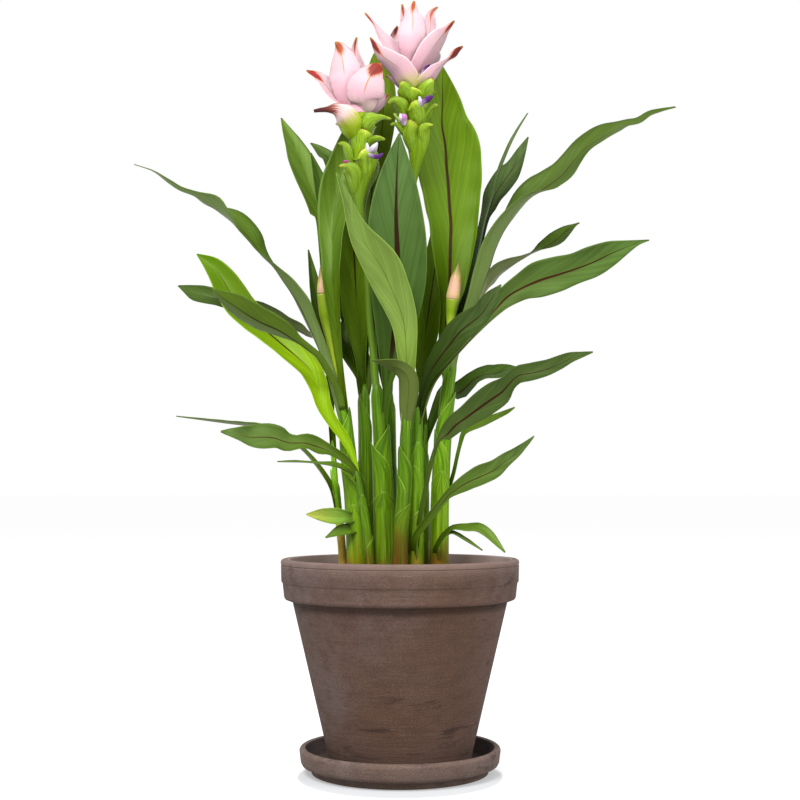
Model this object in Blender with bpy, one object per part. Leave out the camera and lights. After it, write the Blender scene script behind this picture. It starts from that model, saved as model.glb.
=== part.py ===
"""A potted Siam tulip: a clay pot on its saucer, filled with soil, in which eleven leafy shoots stand.
Two of the shoots carry an open flower head and two carry a bud.

The plant is drawn from the front. A drawn point is (x, z, depth) in millimetres: x and z lie in the
plane y = 0, and the point is pushed along its line of sight, away from the eye, until its y is depth.
"""

import math
from collections import namedtuple

import bmesh
import bpy
import numpy as np
from mathutils import Vector

MM = 0.001

# The eye that the plant is drawn from, in millimetres.
EYE_DISTANCE = 1250.0
EYE_HEIGHT = 246.0

# Clay pot and saucer, in millimetres. Heights are above the surface that the saucer stands on.
RIM_RADIUS = 105.0
RIM_TOP = 185.5
COLLAR_BOTTOM = 150.0
COLLAR_BOTTOM_RADIUS = 102.0
BODY_TOP_RADIUS = 95.0
POT_FOOT_RADIUS = 61.5
WALL = 8.0
POT_FLOOR = 9.0
DRAIN_RADIUS = 9.0
SAUCER_RADIUS = 88.0
SAUCER_TOP = 22.5
SAUCER_WALL = 6.0
SAUCER_FLOOR = 7.0
SAUCER_FOOT_RADIUS = 77.5
SAUCER_FOOT_HEIGHT = 6.0
SEAT_GAP = 0.3
POT_BOTTOM = SAUCER_FLOOR + SEAT_GAP
TURNED_SIDES = 40

# Soil, in millimetres.
SOIL_EDGE_TOP = 171.0
SOIL_MIDDLE_TOP = 178.0
SOIL_CLEARANCE = 0.4

# Blades, in millimetres and degrees.
EDGE_THICKNESS = 0.7
RIB_THICKNESS = 1.5
TIP_HALF_WIDTH = 0.5
LEAST_SHOWN = 0.5
LEAST_BODY = 5.0
FOLD_SOFTNESS = 0.15
ROLLED_CURL = 1.2
STATION_SPACING = 19.0
NARROW_SPACING = 24.0
STEM_SPACING = 35.0
CORE_SPACING = 28.0
SPAN_STEPS = 16
STEM_SIDES = 8
SCAPE_RADIUS = 3.0
SOCKET_DEPTH = 14.0
SOCKET_CLEARANCE = 0.35
ROOT_CLEARANCE = 0.5
BRACT_CURL = 0.8
BRACT_SPACING = 13.0

Leaf = namedtuple("Leaf", "name route fold wave curl", defaults=(0.22, 0.0, 0.25))
Shoot = namedtuple("Shoot", "stem foot_radius top_radius leaves")
Bloom = namedtuple("Bloom", "axis pink_core socket_in green pink")

# A leaf's route holds (x, z, depth, roll, half width) from its root to its tip. Roll 0 turns the upper
# face to the eye, 90 to the right of a rising leaf, 180 away. The half width is the one the eye sees.
SHOOTS = {
    "shoot_far_left": Shoot(
        [(-50, 150, 14), (-51, 190, 14), (-54, 220, 15), (-57, 250, 16), (-60, 290, 17)], 2.8, 2.4,
        [
            Leaf("upright_left_rear", [(-59, 278, 17, 10, 2.5), (-62, 330, 21, 10, 3),
                 (-63, 390, 27, 10, 4.5), (-68, 482, 53, 18, 6.8), (-72, 496, 56, 19, 9.1),
                 (-77, 510.5, 60, 20, 10), (-84, 529.5, 66, 23, 11.6), (-89.5, 544, 70, 24, 11.1),
                 (-95, 557, 75, 26, 8), (-101, 568.5, 79, 28, 4.5), (-107, 581, 84, 30, 0.5)]),
            Leaf("strap_left", [(-54, 222, 15, 60, 2.3), (-60, 248, 12, 60, 2.3),
                 (-72, 268, 6, 70, 2.3), (-86, 284, -2, 80, 2.3), (-102, 297, -12, 84, 4.2),
                 (-122, 304.5, -24, 88, 4.7), (-155, 308, -42, 90, 3.5), (-199, 312, -62, 90, 0.5)]),
        ],
    ),
    "shoot_left": Shoot(
        [(-36.5, 150, 4), (-38.5, 200, 4), (-41.5, 240, 4), (-45, 270, 4), (-48.5, 300, 3),
         (-52.5, 330, 2)], 8.2, 4.6,
        [
            Leaf("long_left", [(-49, 302, 3, 120, 3.2), (-55.5, 327.5, 1, 120, 3.5),
                 (-59.5, 345, 0, 121, 3.9), (-64.5, 360.5, -1, 122, 3.6), (-69.5, 374.5, -4, 123, 3.9),
                 (-78, 395, -8, 122, 4.9), (-87, 414.5, -12, 118, 6.4), (-101.5, 435.5, -17, 105, 5.6),
                 (-111.5, 448, -21, 92, 3.8), (-121.5, 459.5, -24, 75, 6), (-129, 471, -28, 64, 7),
                 (-142, 486, -34, 66, 8.5), (-156, 498, -41, 89, 8.3), (-168.5, 506, -47, 112, 7.9),
                 (-183.5, 512, -54, 109, 3.5), (-197.5, 517, -60, 103, 2.6),
                 (-207.5, 524, -65, 94, 2.8), (-221.5, 533.5, -72, 88, 1.5),
                 (-239, 539, -80, 88, 0.5)], 0.25, 0.6),
            Leaf("broad_left", [(-49, 312, 0, -18, 3.5), (-53, 350, -6, -24, 2.8),
                 (-55.5, 370, -8, -26, 3.5), (-59.5, 406, -12, -30, 5.5), (-62, 434, -12, -30, 7.3),
                 (-62, 455, -7, -27, 8.8), (-62, 480, 2, -22, 11.8), (-59, 505, 14, -15, 15),
                 (-55, 524, 23, -9, 15.5), (-50.5, 540, 28, -5, 13.5), (-48, 552, 31, -2, 11),
                 (-45, 568, 36, 0, 6.5), (-42, 587, 41, 0, 0.6)], 0.28),
            Leaf("narrow_left_rear", [(-49, 314, 6, 30, 3), (-59, 355, 11, 36, 3.6),
                 (-68, 390, 15, 40, 7.1), (-74, 420, 18, 42, 5.8), (-78.5, 443, 20, 42, 3),
                 (-82, 461, 22, 40, 0.5)]),
            Leaf("dark_left_front", [(-51, 318, -2, 132, 3), (-55, 334, -7, 132, 3),
                 (-70, 362.5, -20, 132, 2.6), (-80.5, 372.5, -25, 132, 2.6),
                 (-90.5, 380, -29, 133, 3.2), (-100, 386.5, -33, 134, 6.5),
                 (-111.5, 393, -37, 135, 8.5), (-123.5, 398.5, -41, 136, 9.5),
                 (-135.5, 405.5, -47, 137, 9.7), (-146.5, 412.5, -52, 138, 8.7),
                 (-157, 418.5, -56, 139, 5.5), (-168, 426, -60, 140, 0.5)], 0.2),
            Leaf("stub_pale", [(-37, 221, 0, 12, 3), (-46, 222.5, -6, 12, 4.9), (-57, 223, -9, 12, 7),
                 (-70, 224, -12, 14, 5.4), (-83, 224.5, -15, 18, 0.5)]),
            Leaf("stub_dark", [(-36, 212, 0, 30, 2.3), (-44, 212, -5, 30, 4.4), (-54, 210, -9, 30, 4.4),
                 (-66, 204, -12, 30, 0.5)]),
        ],
    ),
    "shoot_left_front": Shoot(
        [(-25, 150, -17), (-27, 186, -17), (-30, 212, -17), (-35, 244, -17),
         (-39.5, 264, -17)], 3.3, 2.8,
        [
            Leaf("lime_left", [(-38, 254, -17, 40, 2.4), (-40, 271.5, -15, 37, 2), (-49, 291.5, -12, 30, 4.1),
                 (-60, 307, -9, 23, 4.9), (-67.5, 321, -6, 18, 6.5), (-71.5, 335.5, -2, 15, 8),
                 (-76, 347, 0, 16, 9.3), (-82.5, 358, 3, 22, 10.4), (-104, 378.5, 10, 33, 11.9),
                 (-118, 390, 14, 30, 12.3), (-131.5, 400, 17, 25, 12.3), (-142.5, 410.5, 21, 20, 13.2),
                 (-151.5, 424, 25, 16, 13.1), (-159.5, 437, 29, 13, 10.9), (-168.5, 447.5, 32, 11, 7.5),
                 (-182, 457, 36, 10, 0.5)], 0.3),
            Leaf("low_left", [(-37, 254, -17, 32, 2.4), (-39.5, 263, -19, 32, 2.2), (-48.5, 273, -24, 34, 3),
                 (-62.5, 282, -31, 33, 4.3), (-71.5, 285.5, -35, 32, 6.4), (-83, 289, -41, 30, 6.5),
                 (-91.5, 289, -45, 29, 5.9), (-100, 289.5, -49, 28, 7.7), (-111, 293.5, -55, 27, 9.6),
                 (-121.5, 294.5, -61, 25, 10.8), (-132.5, 294, -66, 24, 9), (-142, 295.5, -71, 23, 6.4),
                 (-151.5, 297.5, -76, 23, 3.3), (-159, 298.5, -80, 22, 0.5)], 0.2, 1.5),
            Leaf("low_left_narrow", [(-37, 256, -15, 70, 2), (-43, 262, -13, 70, 1.7),
                 (-51.5, 267, -12, 70, 2.6), (-59.5, 269.5, -10, 70, 2.9), (-71, 270.5, -9, 72, 1.4),
                 (-84, 271.5, -8, 75, 1), (-95, 272, -8, 78, 1.5), (-109, 271.5, -8, 80, 0.5)]),
        ],
    ),
    "shoot_left_rear": Shoot(
        [(-27, 150, 24), (-29, 200, 24), (-30.5, 250, 24), (-31, 300, 24), (-31.5, 340, 24)], 5.8, 4.6,
        [
            Leaf("dark_mid_rear", [(-32, 322, 26, -5, 3.2), (-35, 360, 28, -8, 4.5),
                 (-39, 400, 30, -8, 11.5), (-41, 440, 31, -8, 14), (-43, 480, 32, -6, 12.6),
                 (-44, 520, 35, 0, 7.9), (-43, 562, 40, 0, 0.5)], 0.3),
            Leaf("dark_left_cross", [(-31, 326, 24, 20, 3), (-31, 341, 26, 20, 6),
                 (-37, 361, 32, 14, 11), (-47, 378, 38, 21, 12), (-59, 388, 44, 48, 10),
                 (-79.5, 386, 49, 100, 5.3), (-90.5, 391.5, 50, 118, 4.6), (-103.5, 396, 51, 119, 6.7),
                 (-116.5, 405, 52, 112, 7.1), (-131.5, 413, 54, 91, 8.7), (-147.5, 415.5, 58, 58, 8.5),
                 (-161.5, 418, 63, 40, 7.8), (-171.5, 420, 66, 32, 8), (-181, 422, 69, 29, 7.8),
                 (-189, 425, 73, 26, 4.7), (-198.5, 428.5, 78, 24, 0.5)], 0.25),
            Leaf("spear_left_rear_high", [(-32, 328, 28, 20, 2.5), (-36, 380, 38, 20, 3),
                 (-42, 440, 50, 22, 4.5), (-51, 500, 62, 28, 6), (-62, 541, 74, 37, 6.2),
                 (-68.5, 549, 77, 40, 5.3), (-75, 554.5, 81, 42, 2.7), (-80.5, 558, 84, 44, 0.5)]),
            Leaf("spear_left_rear_low", [(-33, 326, 27, 10, 3.2), (-40, 370, 33, 10, 3.2),
                 (-50, 430, 41, 12, 7.9), (-60, 480, 47, 16, 10.9), (-69, 515, 51, 22, 7.5),
                 (-80, 549, 54, 26, 0.5)]),
            Leaf("arch_rear_left", [(-32, 330, 28, 0, 3.2), (-38, 380, 52, 0, 10.5),
                 (-46, 425, 82, 0, 13.5), (-54, 455, 112, 0, 8.2), (-60, 472, 142, 0, 3),
                 (-64, 480, 170, 0, 0.5)], 0.25),
        ],
    ),
    "shoot_middle": Shoot(
        [(-13, 150, -2), (-13, 200, -2), (-14.5, 240, -2), (-16.5, 280, -2), (-18.5, 310, -2),
         (-21, 342, -2)], 9.2, 5.8,
        [
            Leaf("broad_middle", [(-15, 300, -5, -6, 3.2), (-12, 335, -9, -6, 3.4),
                 (-8, 365, -12, -4, 10.5), (-4, 398, -15, 0, 19), (-2, 430, -17, 0, 24.4),
                 (-2.5, 462, -19, 0, 26), (-3.5, 492, -20, 0, 23.6), (-3, 522, -20, 0, 17.1),
                 (-2, 546, -19, 2, 8.9), (-0.5, 567, -18, 4, 0.5)], 0.14),
            Leaf("dark_rear_high", [(-20, 326, 2, 0, 3.2), (-22.5, 350, 16, 0, 3.2),
                 (-24, 370, 32, 0, 3.2), (-26, 400, 43, 0, 4), (-27, 440, 50, 0, 7),
                 (-27, 485, 55, 0, 9), (-24.5, 525, 58, 0, 10), (-20, 550, 60, 0, 11),
                 (-16, 572, 62, 0, 11.2), (-15, 590, 63, 0, 12), (-16.5, 608, 65, 0, 12.5),
                 (-19.5, 624, 66, 0, 10), (-21.5, 635, 66, 0, 5), (-22, 642, 66, 0, 0.5)], 0.3),
        ],
    ),
    "shoot_rear": Shoot(
        [(-6, 150, 29), (-7, 200, 29), (-8, 250, 29), (-9, 300, 29), (-10, 340, 29)], 4.8, 4.0,
        [
            Leaf("dark_core_rear", [(-10, 322, 29, 0, 3), (-11, 355, 31, 0, 4), (-12, 390, 33, 0, 5.5),
                 (-13.5, 425, 36, 0, 6.3), (-14, 455, 41, 0, 4), (-13, 478, 46, 0, 0.5)]),
            Leaf("arch_rear_middle", [(-10, 326, 31, 0, 3.2), (-14, 366, 62, 0, 9), (-20, 402, 96, 0, 14),
                 (-27, 428, 130, 0, 9), (-32, 442, 158, 0, 3), (-34, 447, 178, 0, 0.5)], 0.25),
        ],
    ),
    "shoot_front": Shoot(
        [(0, 150, -25), (0.5, 200, -25), (2.5, 230, -25), (4.5, 262, -25), (5.5, 300, -26),
         (5.5, 318, -27)], 5.4, 4.8,
        [
            Leaf("pale_front", [(5.5, 300, -27, 4, 3.8), (5.5, 330, -29, 4, 4.6),
                 (6.5, 348.5, -30, 4, 6), (6, 366.5, -32, 5, 8.2), (4.5, 391.5, -35, 7, 10.7),
                 (0, 409, -39, 8, 13.1), (-7.5, 427.5, -43, 10, 15.2), (-15.5, 445.5, -48, 13, 16),
                 (-24.5, 459, -52, 16, 14.1), (-34.5, 473.5, -56, 21, 10.3), (-42, 490, -60, 29, 6.4),
                 (-47, 506, -63, 40, 4.1), (-52, 519, -64, 48, 2.3), (-57, 531, -66, 56, 0.5)], 0.2),
            Leaf("folded_front", [(5.5, 296, -27, 176, 3.2), (6.5, 318, -33, 176, 6.9),
                 (8, 336, -38, 176, 8.6), (6.5, 348, -42, 172, 7.9), (-1, 355.5, -45, 150, 6.4),
                 (-12, 359, -47, 120, 3.8), (-25, 361.5, -48, 110, 0.5)], 0.1),
        ],
    ),
    "shoot_middle_rear": Shoot(
        [(4, 150, 10), (4.5, 200, 10), (5, 250, 9), (6, 300, 8), (7, 338, 6)], 5.4, 4.4,
        [
            Leaf("arch_rear", [(6.5, 318, 8, 0, 3.2), (5, 370, 28, 0, 5.1), (6, 425, 56, 0, 14.9),
                 (9, 470, 88, 0, 11.7), (12, 500, 122, 0, 5), (14, 517, 156, 0, 0.5)], 0.25),
        ],
    ),
    "shoot_right_front": Shoot(
        [(13, 150, -10), (13, 200, -10), (13.5, 240, -10), (14, 280, -10), (15.5, 322, -11)], 6.4, 5.2,
        [
            Leaf("dark_right_front", [(14.5, 308, -12, -18, 3), (19.5, 333.5, -16, -20, 2.1),
                 (26.5, 352, -21, -24, 5.8), (34.5, 364.5, -26, -25, 8.1), (43.5, 376.5, -31, -26, 9.8),
                 (52.5, 388, -37, -25, 11), (63, 396.5, -42, -24, 10.5), (72, 403.5, -46, -22, 8.7),
                 (78.5, 413, -51, -20, 7.4), (83.5, 420, -54, -17, 5.7), (87.5, 425.5, -56, -15, 2.6),
                 (90.5, 429.5, -58, -14, 0.5)], 0.2),
            Leaf("broad_right", [(15, 305, -10, -60, 3), (26, 338, -11, -60, 3), (38, 356, -13, -50, 3),
                 (62, 381.5, -14, -40, 2.3), (84, 407, -15, -20, 6), (96, 419, -17, -8, 9.2),
                 (110, 428, -21, -19, 11.8), (125, 434.5, -28, -15, 15.4), (142, 439.5, -36, -12, 15.2),
                 (158, 444.5, -45, -10, 13.3), (174.5, 451, -54, -10, 13.2),
                 (190, 458.5, -64, -11, 10.3), (204, 464, -72, -13, 5.4), (214, 467.5, -79, -14, 2.2),
                 (223.5, 469.5, -84, -16, 0.5)], 0.2, 1.0),
            Leaf("low_right", [(11, 185, -14, -30, 3.2), (11.5, 196, -20, -30, 3),
                 (15, 207, -25, -32, 3), (39.5, 238.5, -41, -30, 3.1), (47.5, 246, -46, -29, 4.3),
                 (59, 253.5, -53, -27, 7), (71, 259, -59, -26, 8.3), (83, 264.5, -66, -24, 7.4),
                 (93.5, 272.5, -73, -24, 6), (102.5, 278.5, -78, -24, 4.3), (110.5, 286, -84, -24, 2.3),
                 (119, 294, -90, -24, 0.5)], 0.22, 0.8),
            Leaf("mid_right_front", [(14, 196, -14, -40, 2.2), (18, 225, -20, -46, 1.8),
                 (23.5, 252, -22, -48, 1.6), (28, 272, -23, -46, 1.7), (34.5, 291, -25, -38, 1.8),
                 (40, 296, -26, -34, 5.9), (48.5, 304.5, -30, -27, 8.2), (58, 311, -33, -23, 9.2),
                 (69.5, 319.5, -39, -19, 10.9), (80, 327, -45, -18, 11.9), (90, 334, -50, -20, 10.9),
                 (98, 342.5, -56, -23, 6.8), (105.5, 349, -61, -27, 7.3), (117.5, 351.5, -67, -31, 7.5),
                 (131, 355, -74, -34, 6.6), (142, 359.5, -81, -35, 5.8), (152, 364, -87, -36, 4.4),
                 (162, 366.5, -92, -36, 2.5), (172, 369, -98, -36, 0.5)]),
        ],
    ),
    "shoot_right_rear": Shoot(
        [(22, 150, 20), (22, 200, 20), (21.5, 240, 20), (21.5, 275, 21), (23, 305, 22)], 3.6, 3.2,
        [
            Leaf("dark_gap_rear", [(22, 296, 22, 0, 3.2), (20, 335, 25, 0, 3.2), (21.5, 372, 29, 0, 10),
                 (26, 408, 34, 0, 12.5), (31, 442, 39, 0, 11.5), (36, 480, 45, 0, 7.2),
                 (41, 520, 52, 0, 0.5)], 0.3),
            Leaf("mid_right_rear", [(22, 288, 21, -50, 2), (27, 304, 21, -50, 3.5),
                 (39, 332.5, 26, -49, 5.7), (50.5, 334, 30, -48, 7.4), (57, 339, 35, -46, 7.4),
                 (64.5, 345.5, 40, -45, 6.1), (73.5, 350, 46, -45, 6), (85, 352, 54, -49, 6.7),
                 (95, 355, 60, -54, 3.8), (106, 355, 68, -60, 0.5)]),
        ],
    ),
    "shoot_right": Shoot(
        [(33.5, 150, 2), (34.5, 200, 2), (35.5, 240, 2), (37.5, 280, 2), (40.5, 320, 2), (44.5, 350, 2),
         (47, 372, 2)], 7.2, 5.4,
        [
            Leaf("broad_upright_right", [(43, 340, 5, 10, 4), (40, 372, 12, 12, 5.5),
                 (43.5, 407, 20, 14, 7.7), (46, 426, 23, 15, 12.2), (47, 446.5, 26, 16, 16.5),
                 (47.5, 466, 29, 16, 20.3), (48, 483, 32, 16, 22.5), (47, 501, 34, 16, 25.2),
                 (46, 520.5, 36, 15, 28.3), (44.5, 537, 37, 14, 29.8), (43, 556, 38, 12, 29.1),
                 (39.5, 575, 38, 11, 23.8), (39.5, 595, 37, 10, 16.5),
                 (39, 610, 35, 9, 10), (38.5, 628, 34, 8, 0.6)], 0.28),
            Leaf("long_right", [(45, 352, 0, -104, 3), (52, 384, -2, -108, 4),
                 (69.5, 432.5, -1, -112, 7.6), (74.3, 447.3, 1, -110, 9), (78.7, 463.5, 3, -106, 10),
                 (85.5, 480.5, 6, -99, 11), (95.7, 495.3, 9, -91, 10.8), (108, 509.3, 14, -78, 10.2),
                 (118.7, 517.3, 17, -68, 9.4), (131.5, 524, 21, -57, 9.8), (143.2, 532, 25, -51, 10),
                 (153.2, 542.8, 30, -46, 9), (164, 555, 34, -51, 7.9), (175.5, 564, 38, -57, 7.8),
                 (188, 572, 43, -63, 7), (201.5, 576.5, 48, -68, 4.5), (214.5, 579, 52, -69, 4.2),
                 (225, 585, 56, -70, 3), (235, 588, 61, -70, 1.8),
                 (248.5, 591.5, 66, -70, 0.5)], 0.26, 0.8),
            Leaf("twisted_right", [(46, 350, 6, -120, 2), (51, 384, 11, -122, 2.3),
                 (68.5, 414.5, 19, -128, 2.4), (76, 428.5, 24, -128, 3.6), (83, 438, 28, -127, 5.8),
                 (91, 445, 33, -124, 5.4), (100, 449.5, 37, -118, 4.1), (109, 454, 42, -109, 2.3),
                 (119, 459.5, 48, -83, 1.7), (129.5, 465, 54, -54, 4.7), (139, 471, 59, -38, 6.9),
                 (148.5, 478.5, 65, -34, 4.8), (156, 483, 70, -34, 1.6),
                 (161, 485.5, 72, -34, 0.5)], 0.2),
            Leaf("strap_right", [(45, 350, 9, -70, 2), (52, 385, 18, -72, 2), (60, 420, 28, -76, 2.3),
                 (73, 480, 43, -78, 2.2), (77, 496, 47, -77, 2.5), (81.5, 511.5, 51, -76, 2.8),
                 (86.5, 528, 56, -74, 2.3), (92.5, 543.5, 60, -72, 2.2), (98.5, 557.5, 65, -72, 2),
                 (105.5, 570.5, 69, -72, 1.4), (115, 585.5, 74, -72, 0.5)], 0.25),
            Leaf("spear_right_rear", [(43, 344, 9, -20, 3), (51, 382, 24, -20, 4),
                 (60, 420, 40, -22, 5), (74, 482, 67, -24, 4), (79.5, 498.5, 74, -23, 6.7),
                 (84.5, 511.5, 80, -22, 9.8), (94.5, 526.5, 88, -19, 10.7), (102.5, 537, 94, -17, 7.5),
                 (109, 550.5, 100, -16, 4.4), (115.5, 563.5, 107, -14, 0.5)]),
            Leaf("slip_right", [(37, 232, 1, -50, 1.6), (43.5, 249, 4, -56, 1.7),
                 (47.5, 262, 4, -57, 1.5), (50.5, 276, 3, -59, 1.5), (53.5, 288, 2, -60, 1.7),
                 (56.5, 297, 0, -55, 2.3), (63, 301, -4, -49, 2.3), (74.5, 306.5, -10, -44, 3.2),
                 (87, 312, -17, -41, 2.5), (96, 316, -22, -40, 1.7), (102, 319.5, -26, -40, 0.5)]),
            Leaf("bent_low_right", [(32, 184, -1, -60, 2.1), (31, 193, -11, -60, 2.1),
                 (36, 203, -18, -56, 2.1), (42, 210, -23, -50, 2), (48, 213.5, -27, -50, 2.1),
                 (60, 213.5, -35, -56, 3.3), (70, 213, -42, -40, 4), (79, 207, -48, -30, 3.8),
                 (87, 198, -53, -30, 2.2), (93, 191, -57, -40, 0.5)]),
            Leaf("wisp_low_right", [(40, 207, -21, -60, 1.4), (47, 209, -27, -66, 1.6),
                 (59, 202.5, -35, -70, 1.9), (73, 193, -44, -70, 0.5)]),
            Leaf("arch_rear_right", [(45, 352, 8, 0, 3.2), (44, 400, 36, 0, 8.2), (46, 445, 70, 0, 15),
                 (50, 480, 106, 0, 10.7), (54, 504, 142, 0, 3.7), (57, 514, 174, 0, 0.5)], 0.25),
        ],
    ),
}

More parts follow.
